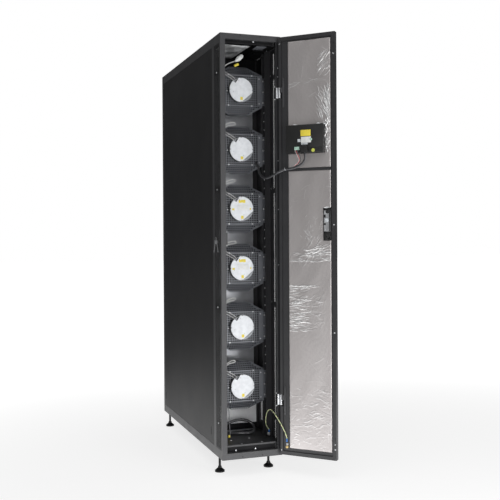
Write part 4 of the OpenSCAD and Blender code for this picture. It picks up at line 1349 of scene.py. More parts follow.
@dataclass
class Cabinet:
    """The outer box: perforated strips, screws, black trim with painted shade on the lips, keys and linings
    painted bright.
    """

    grille_w: float = 0.085
    grille_y: float = -0.543
    pitch: float = 9.8 * MM
    bar: float = 1.9 * MM

    def build(self) -> None:
        """Builds the cabinet's fine pieces."""
        self.strips()
        self.screws()
        self.trim()
        self.keys()
        self.foil_lining_painted_light()
        self.dark_plates()

    def strips(self) -> None:
        """Builds the two perforated air outlets."""
        height = RAIL_TOP - RAIL_LOW - 1 * MM
        for name, side in (("left", -1), ("right", 1)):
            strip = perforated(self.grille_w, height, self.pitch, self.bar, 6 * MM, 1.0 * MM,
                               staggered=True).named(f"outlet_grille_{name}")
            strip.move(across_x(side, self.grille_y, RAIL_LOW + 0.5 * MM + height / 2))
            strip.ship(Body.CABINET, PANEL, f"vent_strip_{name}", slot="panel_black")

    def large_screws(self) -> list[Matrix]:
        """Gives the places of the large screws.

        Returns:
            The places.
        """
        places = [shift(s * 0.126, TAB_Y, z + d * MM) for z in FAN_Z for s in (-1, 1) for d in (-53, 0, 53)]
        places += [shift(x, -0.582, z) for x, z in ((-0.078, 0.038), (0.020, 0.038), (0.020, 1.971))]
        down = Matrix.Rotation(-math.pi / 2, 4, "X")
        places += [shift(x * MM, y * MM, 0.060) @ down
                   for x, y in ((-41, -560), (62, -554), (28, -469), (-70, -481))]
        turn = Matrix.Rotation(-math.pi / 2, 4, "Z")
        for z in (0.165, 0.714, 1.270, 1.822):
            places.append(shift(-HALF_W, self.grille_y, z) @ turn)
            places.append(shift(HALF_W, self.grille_y, z) @ turn.inverted())
            places.append(shift(0.1483, -0.478, z + 0.012) @ turn)
        places.append(shift(0.1483, -0.421, 1.9716) @ turn)
        places += [shift(0.132, TAB_Y, z + 0.145 + d * MM) for z in FAN_Z[:5] for d in (-42, 0, 42)]
        return places

    def screws(self) -> None:
        """Builds the visible screws, clips and the earth stud."""
        large, small = Screw(4.2 * MM), Screw(3.0 * MM)
        sides = [(z, s) for z in FAN_Z for s in (-1, 1)]
        clip = block((-3.2 * MM, -2.4 * MM, -3.2 * MM), (3.2 * MM, 0, 3.2 * MM), 0.6 * MM)
        clip.front().inset(1.0 * MM).pull(y=-0.6 * MM)
        parts = [row_of("large", large.build(), self.large_screws())]
        parts.append(row_of("small", small.build(), [shift(s * 0.100, PLATE_Y, z + d * MM)
                                                     for z, s in sides for d in (-61, 61)]))
        parts.append(row_of("flange", Screw(2.4 * MM, 1.3 * MM).build(),
                            [shift(0.137, FRONT_Y, z) for z in (0.912, 1.176, 1.408, 1.808, 1.850)]))
        parts.append(row_of("bracket", Screw(2.4 * MM, 1.2 * MM).build(),
                            [shift(0.1225, -0.597, z + d) for z in HINGE_ZS for d in (-0.030, 0.030)]))
        parts.append(row_of("clips", clip, [shift(s * 0.060, PLATE_Y - 3 * MM, z + d * 0.074)
                                            for z, s in sides for d in (-1, 1)]))
        parts.append(row_of("dots", small.build(), [shift(-0.066, PLATE_Y, z - 0.004) for z in FAN_Z]))
        parts.append(block((0.124, -0.474, 0.068), (0.136, -0.468, 0.082), 0.5 * MM))
        stud = Work.rod("stud", (0.130, -0.475, 0.066), (0.130, -0.475, 0.084), 3 * MM, 20)
        parts.append(stud.round_edges(0.3 * MM))
        gather("cabinet_screws", parts).ship(Body.CABINET, ZINC, "frame_screws", slot="zinc")

    def trim(self) -> None:
        """Builds the black plugs and hinge brackets of the front frame, black strips that paint the shade on
        its bottom and top lips, and a black screw on the top lip.
        """
        plugs = row_of("flange_plugs", Screw(2.6 * MM, 0.5 * MM).build(),
                       [shift(x, FRONT_Y, z) for z in (1.9935, 0.010) for x in (-0.050, 0.050)])
        parts = [block((0.1195, -0.597, z - 0.033), (0.126, -0.5955, z + 0.033), 0.3 * MM) for z in HINGE_ZS]
        # black strips over the bottom and top lips: painted shade
        parts += [block((-0.1195, -0.5826, low), (0.1195, -0.582, high), 0.2 * MM)
                  for low, high in ((0.0305, 0.0555), (1.9575, 1.9725))]
        parts.append(Screw(3.6 * MM, 1.6 * MM).build().move(shift(-0.075, -0.5826, 1.969)))
        gather("black_trim_and_lip_shade", [plugs] + parts).ship(Body.CABINET, GASKET_AND_SHADE)

    def keys(self) -> None:
        """Builds the pair of keys that hang from the left grille."""
        parts = [Work.ring("ring", (-0.1509, -0.517, 1.035), (1, 0, 0), 10 * MM, 0.6 * MM, 32)]
        for lean, y in ((-0.46, -0.526), (0.40, -0.508)):
            shaft = block((-0.5 * MM, -3.2 * MM, -58 * MM), (0.5 * MM, 3.2 * MM, -16 * MM), 0.2 * MM)
            shaft.pick(Pick.FACE, lambda at, n: n.z < -FACING).inset(0.8 * MM).pull(z=-3 * MM)
            bow = Work.rod("bow", (-0.6 * MM, 0, -8 * MM), (0.6 * MM, 0, -8 * MM), 10.5 * MM, 28)
            bow.pick(Pick.FACE, lambda at, n: abs(n.x) > FACING).inset(3 * MM, -0.3 * MM)
            bow.done().round_edges(0.3 * MM)
            key = gather("key", [bow, shaft]).move(shift(-0.1509, y, 1.0290) @ Matrix.Rotation(lean, 4, "X"))
            parts.append(key)
        gather("key_pair", parts).ship(Body.CABINET, ZINC)

    def foil_lining_painted_light(self) -> None:
        """Builds the lining behind the lowest fan, above the highest one and on the rail's web, painted
        bright as its highlights, with painted reflections and shade on the ceiling part.
        """
        web = Matrix.Rotation(-math.pi / 2, 4, "Z") @ STAND
        over = Matrix.Rotation(math.pi, 4, "X")
        cell, rim, swell = 0.004, 0.008, 0.0011
        for name, finish, width, height, folds, place in (
                ("bulkhead_foil", LINING_PAINTED_BRIGHT, 0.269, 0.110, 3.0,
                 shift(-0.0035, BULK_Y - 2.6 * MM, 0.149) @ STAND),
                ("ceiling_foil", FOIL_PAINTED_REFLECTIONS, 0.152, 0.280, 9.0, shift(-0.070, -0.436, 1.9505) @ over),
                ("web_foil", LINING_PAINTED_BRIGHT, 0.024, 0.112, 1.0, shift(0.1415, -0.340, 0.170) @ web)):
            lining = Work.sheet(name, max(8, int(width / cell)), int(height / cell), width, height)
            for vert in lining.obj.data.vertices:
                x, y = vert.co.x * 24, vert.co.y * 30
                edge = min(1.0, (width / 2 - abs(vert.co.x)) / rim)
                edge *= min(1.0, (height / 2 - abs(vert.co.y)) / rim)
                wave = math.sin(1.1 * x + 1.3 * math.sin(0.9 * y + folds))
                wave += 0.8 * math.sin(1.7 * y + math.sin(x * folds * 0.2))
                vert.co.z = swell * max(edge, 0) * (2.0 + wave)
            lining.modify("SOLIDIFY", thickness=0.3 * MM, offset=1.0).move(place)
            lining.ship(Body.CABINET, finish, smooth=80)

    def dark_plates(self) -> None:
        """Builds black sheets over the bulkhead's lowest and highest bands, and the plate under the ceiling.
        """
        # black sheets where the bulkhead shows dark bands
        dark = [block((-0.138, BULK_Y - 3.0 * MM, low), (0.138, BULK_Y - 0.2 * MM, high), 0.3 * MM)
                for low, high in ((0.0625, 0.093), (1.826, 1.950))]
        gather("bulkhead_dark_bands", dark).ship(Body.CABINET, GASKET_AND_SHADE)
        plate = block((0.039, -0.578, 1.9512), (0.090, -0.506, 1.9525), 0.3 * MM)
        plate.named("ceiling_plate").ship(Body.CABINET, CRADLE)


# --- fans -------------------------------------------------------------------------------------------
@dataclass
class FanDeck:
    """Perforated cradles and the dressed motor housings."""

    width: float = 0.232
    height: float = 0.148
    lean: float = math.radians(55.0)
    chord: float = math.radians(50.0)

    def build(self) -> None:
        """Builds the six fans' fine pieces."""
        master = self.cradle()
        trim = self.trim()
        facet = self.facet()
        hole_shade = self.hole_shade()
        for number, z in enumerate(FAN_Z, 1):
            master.copy(f"perforated_cradle_{number}", shift(z=z)).ship(
                Body.CABINET, CRADLE, f"fan_cradle_{number}", slot="cradle_black")
            trim.copy(f"motor_cover_{number}", shift(z=z)).ship(Body.CABINET, ALLOY, slot="motor_alloy")
            facet.copy(f"motor_facet_{number}", shift(z=z)).ship(Body.CABINET, FACET_SHADE)
            # black sheet behind the cradle's holes: painted shade
            hole_shade.copy(f"cradle_baffle_{number}", shift(z=z)).ship(Body.CABINET, GASKET_AND_SHADE)
            self.labels(number, z)
        for work in (master, trim, facet, hole_shade):
            drop(work.obj)

    def wing(self) -> Work:
        """Builds the upper sloping wing.

        Returns:
            The wing, in place for a fan at height 0.
        """
        def inside(at: Vector) -> bool:
            """Says whether a hole stays clear of the slanting edge."""
            return 0.6 * MM < at.y + 0.028 and abs(at.x) < 0.107 - (at.y + 0.028) * 1.22

        flat = perforated(self.width, 0.056, 11.4 * MM, 3.2 * MM, 3 * MM, 1.6 * MM, inside)
        return self.slope(flat, -1.0 * MM)

    def slope(self, wing: Work, sink: float) -> Work:
        """Cuts a flat sheet to the wing's outline and leans it back.

        Args:
            wing: the flat sheet.
            sink: its depth behind the wing's front face.

        Returns:
            The sheet, in place above a fan at height 0.
        """
        for side in (-1, 1):
            wing.cut((side * 0.112, -0.018, 0), Vector((side * 46, 68, 0)).normalized())
        return wing.move(shift(0, PLATE_Y, self.height / 2) @ Matrix.Rotation(self.lean, 4, "X")
                         @ shift(0, 0.028, sink))

    def hole_shade(self) -> Work:
        """Builds the black sheet behind one cradle's holes, which paints the shade seen through them.

        Returns:
            The sheet for a fan at height 0.
        """
        plate = Work.sheet("shade_sheet", 38, 24, self.width - 8 * MM, self.height - 4 * MM)
        plate.delete(lambda at, _: at.length < 0.048)
        plate.modify("SOLIDIFY", thickness=0.6 * MM, offset=0.0)
        plate.move(shift(0, PLATE_Y + 7 * MM, 0) @ STAND)
        upper = Work.sheet("upper", 4, 2, self.width - 2 * MM, 0.054)
        upper = self.slope(upper.modify("SOLIDIFY", thickness=0.6 * MM, offset=0.0), -7.0 * MM)
        return gather("hole_shade", [plate, upper, upper.copy("lower", FLIP)])

    def cradle(self) -> Work:
        """Builds one cradle for a fan at height 0.

        Returns:
            The cradle.
        """
        def holes(at: Vector) -> bool:
            """Says where the plate is perforated."""
            return abs(at.x) < 0.094 and at.length > 0.059

        half_w, half_h = self.width / 2, self.height / 2
        plate = perforated(self.width, self.height, 11.6 * MM, 3.4 * MM, 3 * MM, 2.0 * MM, holes)
        plate.move(shift(0, PLATE_Y + 1 * MM, 0) @ STAND)
        upper = self.wing()
        parts = [plate, upper, upper.copy("lower", FLIP)]
        for s in (-1, 1):
            bar = block((-half_w, PLATE_Y - 3 * MM, s * half_h - 3 * MM),
                        (half_w, PLATE_Y + 1 * MM, s * half_h + 3 * MM), 1.0 * MM)
            cheek = block((-1 * MM, PLATE_Y, -half_h), (1 * MM, PLATE_Y + 15 * MM, half_h), 0.5 * MM)
            tab = block((-10.5 * MM, TAB_Y, -68 * MM), (10.5 * MM, PLATE_Y + 15 * MM, 68 * MM), 0.5 * MM)
            parts += [bar, cheek.move(shift(s * (half_w - 1 * MM))), tab.move(shift(s * 0.1255))]
        return gather("cradle", parts)

    def trim(self) -> Work:
        """Builds the raised rings and screws of one motor cover.

        Returns:
            The cover for a fan at height 0.
        """
        parts = [Work.ring("rim", (0, MOTOR_Y, 0), (0, 1, 0), radius, thick, 56)
                 for radius, thick in ((56 * MM, 0.8 * MM), (40 * MM, 0.5 * MM))]
        turns = [Matrix.Rotation(math.radians(20 + 120 * k), 4, "Y") for k in range(3)]
        parts.append(row_of("heads", Screw(2.4 * MM, 1.4 * MM).build(),
                            [turn @ shift(0.043, MOTOR_Y, 0) for turn in turns]))
        return gather("cover", parts)

    def facet(self) -> Work:
        """Builds the recessed facet at the lower right of one motor cover, painted darker as the shade of its
        recess.

        Returns:
            The facet for a fan at height 0.
        """
        face = MOTOR_Y
        disc = Work.rod("facet", (0, face - 0.7 * MM, 0), (0, face + 0.1 * MM, 0), 59.6 * MM, 72)
        toward = Vector((math.cos(self.chord), 0, -math.sin(self.chord)))
        disc.pick(Pick.FACE, lambda at, n: True)
        disc.do(bpy.ops.mesh.bisect, plane_co=tuple(toward * 0.046), plane_no=tuple(toward),
                clear_inner=True, use_fill=True)
        disc.done()
        holes = [Work.rod("hole", (x * MM, face - 0.9 * MM, z * MM), (x * MM, face - 0.6 * MM, z * MM),
                          1.5 * MM, 12)
                 for x, z in ((-18, 20), (26, 12), (-40, -10), (10, -30), (-12, 44))]
        gland = Work.rod("gland", (-0.034, face + 2 * MM, 0.043), (-0.034, face - 3 * MM, 0.043),
                         7.5 * MM, 6, 6 * MM)
        return gather("facet", [disc, gland.round_edges(0.8 * MM)] + holes)

    def labels(self, number: int, z: float) -> None:
        """Sticks the bare labels on one motor.

        Args:
            number: the fan's number, from the bottom.
            z: the fan's height.
        """
        spots = [(YELLOW, 2, -42, 6.5, 7.5, 0.3)]
        if number in (3, 4):
            spots += [(YELLOW, 1, 36, 17, 7.5, 0.3), (PAPER, 5, 6, 27, 13.5, 2.6),
                      (YELLOW, -44, -3, 6, 4.5, 0.3), (YELLOW, 44, -1, 3, 4.5, 0.3)]
        for count, (finish, x, dz, half, tall, proud) in enumerate(spots, 1):
            label = block((x * MM - half * MM, MOTOR_Y - (proud + 0.25) * MM, z + (dz - tall) * MM),
                          (x * MM + half * MM, MOTOR_Y + 0.1 * MM, z + (dz + tall) * MM), 0.12 * MM)
            label.named(f"motor_label_{number}_{count}").ship(Body.CABINET, finish)


# --- front door -------------------------------------------------------------------------------------
@dataclass
class DoorFace:
    """The inside of the open door: crumpled foil, controller, lock and hinges."""

    left: float = 47.0
    right: float = 259.0
    low: float = 44.0
    split: float = 1356.0
    high: float = 1966.0
    bar: float = 12.0
    cell: float = 2.1
    rim: float = 2.5
    fold: float = 3.0
    sunk: float = 3.0

    def build(self) -> None:
        """Builds the door's fine pieces."""
        self.foil("upper", self.split + self.bar, self.high, 11)
        self.foil("lower", self.low, self.split, 5)
        self.scraps()
        self.controller()
        self.lock()
        self.handle()
        self.hinges()
        self.edge_holes()

    def ship(self, work: Work, finish: Finish, *nodes: str, name: str, body: Body = Body.DOOR,
             slot: Optional[str] = None, smooth: float = 40.0) -> bpy.types.Object:
        """Moves a piece from door sizes in millimetres to the open door and mounts it.

        Args:
            work: the piece in door millimetres.
            finish: its finish.
            nodes: the nodes that it stands for.
            name: its name.
            body: the body that it rides on.
            slot: the record's slot of its finish.
            smooth: angle in degrees below which edges are smooth.

        Returns:
            The finished object.
        """
        work.move(DOOR @ Matrix.Scale(MM, 4))
        return work.named(name).ship(body, finish, *nodes, slot=slot, smooth=smooth)

    def creases(self, low: float, high: float, seed: int) -> list[Crease]:
        """Draws creases as (u, z, u, z, height, width) segments.

        Args:
            low: lowest height.
            high: greatest height.
            seed: seed of the drawing.

        Returns:
            The creases.
        """
        draw = random.Random(seed)
        made = []

        def scatter(count: int, box: tuple[float, float, float, float], angle: float, spread: float,
                    length: tuple[float, float], tall: tuple[float, float]) -> None:
            """Adds creases in a box, about one direction.

            Args:
                count: how many are drawn.
                box: the box as (u, u, z, z).
                angle: their direction in degrees.
                spread: how far they stray from it.
                length: least and greatest length.
                tall: least and greatest height.
            """
            for _ in range(count):
                u, z = draw.uniform(box[0], box[1]), draw.uniform(box[2], box[3])
                if not low + 3 < z < high - 3:
                    continue
                lean, size = math.radians(angle + draw.gauss(0, spread)), draw.uniform(*length)
                height = draw.uniform(*tall) * draw.choice((1, 1, -0.7))
                du, dz = math.cos(lean) * size / 2, math.sin(lean) * size / 2
                made.append((u - du, z - dz, u + du, z + dz, height * 0.75, draw.uniform(1.9, 3.2)))

        scatter(34, (self.left, self.right, self.low, self.high), 15, 38, (12, 50), (0.2, 0.8))
        scatter(9, (self.left, self.right, 1755, 1780), 4, 9, (30, 90), (0.4, 1.0))
        scatter(16, (self.left, 120, 1800, 1960), 68, 14, (20, 70), (0.2, 0.6))
        scatter(60, (205, self.right, 1800, 1900), 44, 5, (16, 44), (0.6, 1.3))
        scatter(44, (196, self.right, 1600, 1720), -62, 9, (24, 70), (0.8, 1.6))
        scatter(50, (232, self.right, 1600, 1740), -70, 8, (24, 60), (0.8, 1.7))
        scatter(90, (231, self.right, 1440, 1600), 78, 32, (8, 26), (1.0, 2.2))
        scatter(34, (80, self.right, 925, 975), 3, 7, (20, 80), (0.6, 1.4))
        scatter(12, (150, self.right, 965, 990), 12, 7, (30, 80), (0.8, 1.5))
        scatter(16, (110, 200, 930, 1080), 58, 9, (15, 60), (0.5, 1.2))
        scatter(16, (110, 200, 930, 1080), -52, 9, (15, 60), (0.5, 1.2))
        scatter(30, (130, 225, 1020, 1150), 60, 25, (6, 24), (0.5, 1.2))
        scatter(14, (180, self.right, 968, 1002), 16, 6, (24, 70), (0.8, 1.6))
        scatter(150, (self.left, 135, 600, 815), 1, 5, (14, 60), (0.5, 1.5))
        scatter(6, (self.left, 160, 806, 820), 0, 2, (50, 110), (0.6, 1.3))
        scatter(60, (100, 215, 600, 780), 4, 20, (10, 40), (0.3, 0.9))
        scatter(36, (150, 230, 620, 800), 86, 8, (12, 50), (0.2, 0.7))
        scatter(130, (self.left, self.right, 110, 330), 2, 20, (10, 40), (0.3, 1.0))
        scatter(26, (self.left, self.right, 44, 140), 20, 40, (12, 50), (0.3, 0.9))
        scatter(18, (120, self.right, 300, 480), -20, 22, (15, 70), (0.2, 0.7))
        scatter(10, (self.left, self.right, 1180, 1350), 20, 25, (15, 60), (0.2, 0.6))
        return made

    def open_at(self, u: float, z: float) -> bool:
        """Says whether the foil is cut away at a place."""
        return (222 < u and 1027 < z < 1181) or (44 < u < 232.5 and 1434.5 < z < 1570.5)

    def press(self, mesh: bpy.types.Mesh, creases: Iterable[Crease]) -> tuple[list[float], list[float]]:
        """Works out how far the creases lift each point, and how strong a painted highlight they give it.

        Args:
            mesh: the flat sheet.
            creases: the creases.

        Returns:
            The lift and the painted highlight of each point.
        """
        height = [0.0] * len(mesh.vertices)
        shine = [0.0] * len(mesh.vertices)
        tile, margin, tail, line_w = 20, 12, 6, 2.4
        buckets: dict[tuple[int, int], list[int]] = {}
        for vert in mesh.vertices:
            buckets.setdefault((int(vert.co.x // tile), int(vert.co.y // tile)), []).append(vert.index)
        for u0, z0, u1, z1, tall, wide in creases:
            start, along = Vector((u0, z0)), Vector((u1 - u0, z1 - z0))
            size = along.length
            along.normalize()
            columns = range(int((min(u0, u1) - margin) // tile), int((max(u0, u1) + margin) // tile) + 1)
            rows = range(int((min(z0, z1) - margin) // tile), int((max(z0, z1) + margin) // tile) + 1)
            for index in (index for u in columns for z in rows for index in buckets.get((u, z), ())):
                at = Vector(mesh.vertices[index].co.xy) - start
                run = at.dot(along)
                if not -tail < run < size + tail:
                    continue
                bent = 1.6 * math.sin(run * 0.13 + u0)
                off = abs(at.x * along.y - at.y * along.x + bent)
                fade = max(0.0, min(1.0, (run + tail) / 10, (size + tail - run) / 10))
                if off < wide * 2.2:
                    height[index] += tall * fade * max(0.0, 1 - off / wide)
                    # painted highlight along the crease line
                    bright = fade * max(0.0, 1 - off / line_w) * min(1.0, abs(tall))
                    shine[index] = max(shine[index], bright)
        return height, shine

    def foil(self, name: str, low: float, high: float, seed: int) -> None:
        """Builds one sheet of foil-faced insulation as a creased skin with turned-in edges, painted
        highlights along its creases and a painted highlight band along its left edge.

        Args:
            name: the sheet's name.
            low: its lower edge.
            high: its upper edge.
            seed: seed of its creases.
        """
        across, along = round((self.right - self.left) / self.cell), round((high - low) / self.cell)
        sheet = Work.sheet("sheet", across, along, self.right - self.left, high - low)
        sheet.move(shift((self.left + self.right) / 2, (low + high) / 2))
        sheet.delete(lambda at, _: self.open_at(at.x, at.y)).done()
        mesh = sheet.obj.data
        height, shine = self.press(mesh, self.creases(low, high, seed))
        layer = mesh.attributes.new("crease_glint", "FLOAT", "POINT")
        for vert in mesh.vertices:
            u, z = vert.co.x, vert.co.y
            rim = min(1.0, min(u - self.left, self.right - u, z - low, high - z) / self.rim)
            pillow = 0.7 * math.sin(u * 0.045 + math.sin(z * 0.011) * 2)
            pillow *= math.sin(z * 0.017 + math.sin(u * 0.02))
            ripple = 0.12 * math.sin(u * 0.21 + 2.2 * math.sin(z * 0.05))
            ripple *= math.sin(z * 0.16 + 1.9 * math.sin(u * 0.07))
            lift = 1.2 + pillow + ripple + max(-1.0, min(2.2, height[vert.index]))
            bright = shine[vert.index] * rim
            # a painted highlight band along the turned-in left edge
            if u < self.left + self.fold:
                bright = max(bright, 0.35)
            layer.data[vert.index].value = bright
            vert.co = Vector((u, self.sunk + 0.4 * (1 - rim) - max(-1.0, lift) * rim, z))
        mesh.flip_normals()
        self.ship(sheet, FOIL, "door_insulation", name=f"crumpled_foil_{name}", slot="foil", smooth=28)

    def scraps(self) -> None:
        """Builds the torn foil edges around the controller and the lock."""
        draw = random.Random(21)
        parts = []
        for u0, z0, u1, z1, out in ((74, 1571.5, 96, 1572, 3.0), (192, 1572.5, 214, 1573, 3.0),
                                    (226, 1569, 236, 1570, 2.0), (223, 1180, 258, 1181.5, 2.0)):
            length = math.hypot(u1 - u0, z1 - z0)
            steps = int(length / 3.2)
            strip = Work.sheet("scrap", steps, 5, length, 7.0)
            for vert in strip.obj.data.vertices:
                along, over = vert.co.x, vert.co.y
                vert.co.z = -out * abs(math.sin(along * 0.35 + draw.uniform(0, 0.8))) * (1 - abs(over) / 4.2)
                vert.co.y = over * (0.75 + 0.45 * math.sin(along * 0.22 + out)) + draw.uniform(-0.4, 0.4)
            turn = Matrix.Rotation(-math.atan2(z1 - z0, u1 - u0), 4, "Y")
            lay = Matrix(((1, 0, 0, 0), (0, 0, 1, 0), (0, 1, 0, 0), (0, 0, 0, 1)))
            strip.modify("SOLIDIFY", thickness=0.25, offset=0.0)
            parts.append(strip.move(shift((u0 + u1) / 2, 1.4, (z0 + z1) / 2) @ turn @ lay))
        self.ship(gather("scraps", parts), LINING_PAINTED_BRIGHT, name="foil_scraps", smooth=75)

    def controller(self) -> None:
        """Builds the controller's housing, connectors and bare labels."""
        case = block((47, -24, 1437), (231, 20, 1568), 1.6)
        lid = block((49.5, -24.7, 1463), (228.5, -23.6, 1566), 0.5)
        ribs = [block((150, -24.9, 1440 + 3.6 * k), (228, -23.9, 1441.6 + 3.6 * k), 0.3) for k in range(6)]
        self.ship(gather("case", [case, lid] + ribs), BOX_BLACK, "controller_box", name="controller_case",
                  slot="box_black")
        for name, low, high, finish in (("yellow", (121, -25.1, 1514), (171, -24.55, 1543), YELLOW),
                                        ("white", (123, -25.1, 1483), (173, -24.55, 1511), PAPER),
                                        ("small", (124, -25.1, 1474), (156, -24.55, 1482.7), WHITE)):
            self.ship(block(low, high, 0.15), finish, name=f"controller_label_{name}")
        dot = post("dot", 183, 1447, -24.0, -25.3, 8.4, 40).round_edges(0.2)
        self.ship(dot, YELLOW_GREEN, name="controller_sticker")
        plug = block((124, -40, 1437), (159, -24, 1469), 1.2)
        pins = [block((127 + 5.2 * k, -40.4, 1440), (130.6 + 5.2 * k, -39.6, 1462), 0.25) for k in range(6)]
        boots = [block((129 + 10 * k, -37, 1432.5), (136.5 + 10 * k, -27, 1437.5), 1.0) for k in range(3)]
        self.ship(gather("plug", [plug] + pins + boots), BOX_BLACK, name="controller_plugs")
        green = block((93, -34, 1450), (117, -24, 1465), 0.8)
        holes = []
        for k in range(5):
            hole = post("hole", 95.6 + 4.6 * k, 1460.5, -33.9, -34.5, 1.5, 16)
            hole.front().inset(0.5).pull(y=0.4)
            holes.append(hole.done())
        slots = [block((94.0 + 4.6 * k, -34.5, 1451), (97.3 + 4.6 * k, -33.8, 1455.5), 0.2) for k in range(5)]
        blob = post("blob", 173, 1498, -24, -28.5, 6.5, 24, 4.5).round_edges(1.2)
        self.ship(gather("green", [green, blob] + holes + slots), GREEN, "door_terminals",
                  name="controller_terminals", slot="terminal_green")
        white = block((108, -30, 1487), (121, -24, 1501), 0.8)
        white.front().inset(2.0, -1.0)
        self.ship(white.done(), WHITE, name="controller_jack")
        wires = ((LEAD_PALE, 97, 0), (RED, 101.5, 3), (CABLE_GREY, 106, 6), (CABLE, 110.5, 9))
        for number, (finish, u, end) in enumerate(wires, 1):
            run = ((u, -32.5, 1450), (u + 1, -33.5, 1443), (u + 9, -33, 1426), (114 + end, -28, 1405),
                   (104 + end, -24, 1389), (84 + end, -20, 1377))
            line = [on_door(*p) for p in flow(run, 5)]
            wire = tube(f"controller_wire_{number}", line, 1.1 * MM, 8)
            wire.ship(Body.DOOR, finish, smooth=50)
            reach(line)

    def lock(self) -> None:
        """Builds the multi-part lock gearbox."""
        body = block((228, -8, 1069), (256, 8, 1167), 1.6)
        body.front().inset(3.0, -0.8)
        plate = block((226, 4, 1031), (259, 8, 1177), 0.8)
        lug = block((234, -5, 1167), (256, 8, 1177), 1.0)
        foot = block((234, -5, 1031), (256, 8, 1036), 0.8)
        collar = post("collar", LOCK_U, LOCK_Z, 8, -6, 16, 40).round_edges(1.4)
        cutter = post("bore", LOCK_U, LOCK_Z, 12, -12, 6.2, 32)
        collar.bore(cutter)
        drop(cutter.obj)
        rivets = [post("rivet", u, z, -8.2, -9.6, 3.0, 20).round_edges(0.5)
                  for u, z in ((234, 1078), (250, 1078), (234, 1158), (250, 1158))]
        self.ship(gather("lock", [body] + rivets), ZINC, "lock_body", name="lock_gearbox", slot="zinc")
        knob = post("knob", 246, 1160, -8, -13, 9.0, 32, 7.5).round_edges(1.0)
        self.ship(gather("mount", [plate, lug, foot, collar, knob]), BOX_BLACK, "lock_body",
                  name="lock_mount")
        cap = post("cap", 243, 1122, -8.1, -12.5, 9.0, 36, 8.0).round_edges(1.0)
        cap.front().inset(2.5, -0.6)
        self.ship(cap.done(), WHITE, name="lock_cap")
        bracket = block((253.5, -9.2, 1070), (258.5, -8.0, 1166), 0.4)
        stops = [block((229, -9.4, low), (238, -8.0, high), 0.5)
                 for low, high in ((1099, 1108), (1133, 1147))]
        self.ship(gather("bracket", [bracket] + stops), BOX_BLACK, name="lock_bracket")
        hub = post("hub", LOCK_U, LOCK_Z, -6.5, -10.5, 9.0, 36).round_edges(0.8)
        shaft = post("shaft", LOCK_U, LOCK_Z, -6.0, 52, 6.0, 32)
        cam = block((235, -10.5, 1029), (247, -6.5, 1050), 1.2)
        head = block((234, 39, 1047), (248, 52, 1059), 1.5)
        self.ship(gather("cam", [shaft, head]), ZINC, "latch_cam", name="latch_shaft", body=Body.LATCH,
                  slot="zinc")
        self.ship(gather("hub", [hub, cam]), BOX_BLACK, "latch_cam", name="latch_hub", body=Body.LATCH)

    def handle(self) -> None:
        """Builds the swing handle and its recessed dish on the outer face."""
        dish = block((224, 32, 880), (258, 38, 1084), 2.4)
        dish.pick(Pick.FACE, lambda at, n: n.y > FACING and at.z < 1084).inset(3.5)
        middle = Vector((LOCK_U, 0, 982))
        dish.pick(Pick.FACE, lambda at, n: (n.y > FACING and abs(at.x - middle.x) < 3
                                            and abs(at.z - middle.z) < 3)).pull(y=-2.6)
        self.ship(dish.done(), POWDER, "handle_dish", name="handle_recess", slot="powder_black")
        lever = block((102, 40, 1041), (224, 51, 1065), 4.0)
        lever.pick(Pick.FACE, lambda at, n: n.y > FACING).inset(5.0, -1.2)
        half = 2.9
        ears = [LOCK_Z - 9.5, LOCK_Z + 9.5]
        arms = [block((219, 40, z - half), (LOCK_U, 51, z + half), 1.2) for z in ears]
        eyes = [Work.rod("eye", (LOCK_U, 45.5, z - half), (LOCK_U, 45.5, z + half), 6.0, 28) for z in ears]
        pin = Work.rod("pin", (LOCK_U, 45.5, 1040.5), (LOCK_U, 45.5, 1065.5), 2.5, 20).round_edges(0.4)
        self.ship(gather("lever", [lever.done()] + arms + eyes + [pin]), POWDER, "handle_lever",
                  name="handle_grip", body=Body.HANDLE, slot="powder_black")

    def hinges(self) -> None:
        """Builds the door's hinge leaves with their screws."""
        barrels, leaves = [], []
        for z in (height / MM for height in HINGE_ZS):
            plate = block((17, 3, z - 70), (27, 6.5, z + 70), 0.8)
            wing = block((0, 3.5, z + 0.4), (18, 6.5, z + 24.5), 0.5)
            barrel = Work.rod("barrel", (0, 9, z + 0.4), (0, 9, z + 24.5), 6.5, 32).round_edges(0.5)
            cut = Work.rod("cut", (0, 9, z - 30), (0, 9, z + 60), 4.05, 32)
            barrels.append(barrel.bore(cut))
            wing.bore(cut)
            drop(cut.obj)
            heads = row_of("heads", Screw(3.2, 1.4).build(),
                           [shift(22, 3, z + d) for d in (-58, -28, 28, 58)])
            leaves += [plate, wing, heads]
        self.ship(gather("barrels", barrels), ZINC, "door_hinge_leaves", name="hinge_barrels", slot="zinc")
        self.ship(gather("leaves", leaves), POWDER, "door_hinge_leaves", name="hinge_leaves")

    def edge_holes(self) -> None:
        """Builds the earth tag, its nut and the plugs along the door's free edge."""
        tag = block((28, 4.5, 42), (38, 6.5, 64), 0.5)
        nut = post("nut", 33.5, 48, 4.5, -1.5, 7.6, 6).round_edges(0.6)
        stud = post("stud", 33.5, 48, -1.4, -3.4, 3.2, 20).round_edges(0.4)
        self.ship(gather("nut", [nut, stud]), BRASS, name="earth_nut")
        self.ship(tag, ZINC, name="earth_tag")
        plugs = []
        for u, z in ((276, 59), (276, 82), (276, 600), (276, 1100), (276, 1890), (6, 1960), (6, 30)):
            plug = post("plug", u, z, 0.4, -0.5, 3.4, 20)
            plug.front().inset(1.0, -0.5)
            plugs.append(plug.done())
        self.ship(gather("plugs", plugs), ZINC, name="door_edge_rivets")


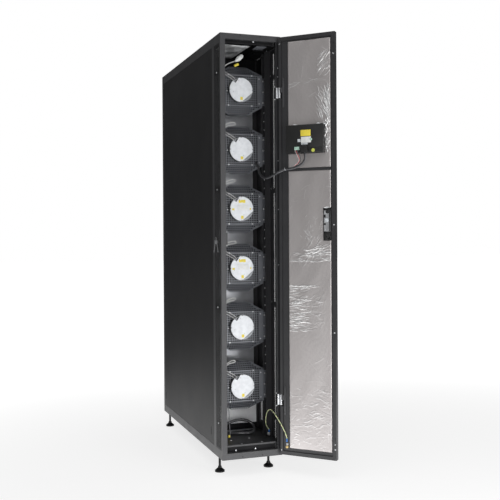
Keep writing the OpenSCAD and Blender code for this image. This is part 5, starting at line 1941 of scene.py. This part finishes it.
# --- rear door --------------------------------------------------------------------------------------
@dataclass
class RearDoor:
    """The perforated rear door's screen."""

    half: float = 0.110
    low: float = 0.039
    high: float = 1.962
    middle_y: float = 0.59725
    pitch: float = 15 * MM
    bar: float = 4 * MM
    border: float = 12 * MM

    def build(self) -> None:
        """Builds the screen."""
        screen = perforated(2 * self.half, self.high - self.low, self.pitch, self.bar, self.border,
                            1.5 * MM, staggered=True).named("rear_screen")
        screen.move(shift(0, self.middle_y, (self.low + self.high) / 2) @ STAND)
        screen.ship(Body.REAR, PANEL, "rear_door_mesh", slot="panel_black")


def main() -> None:
    """Builds everything in order."""
    logging.basicConfig(level=logging.INFO, format="%(message)s")
    Studio().build()
    Cords().build()
    dress_nodes()
    for part in (Cabinet(), FanDeck(), DoorFace(), RearDoor()):
        part.build()


if __name__ == "__main__":
    main()
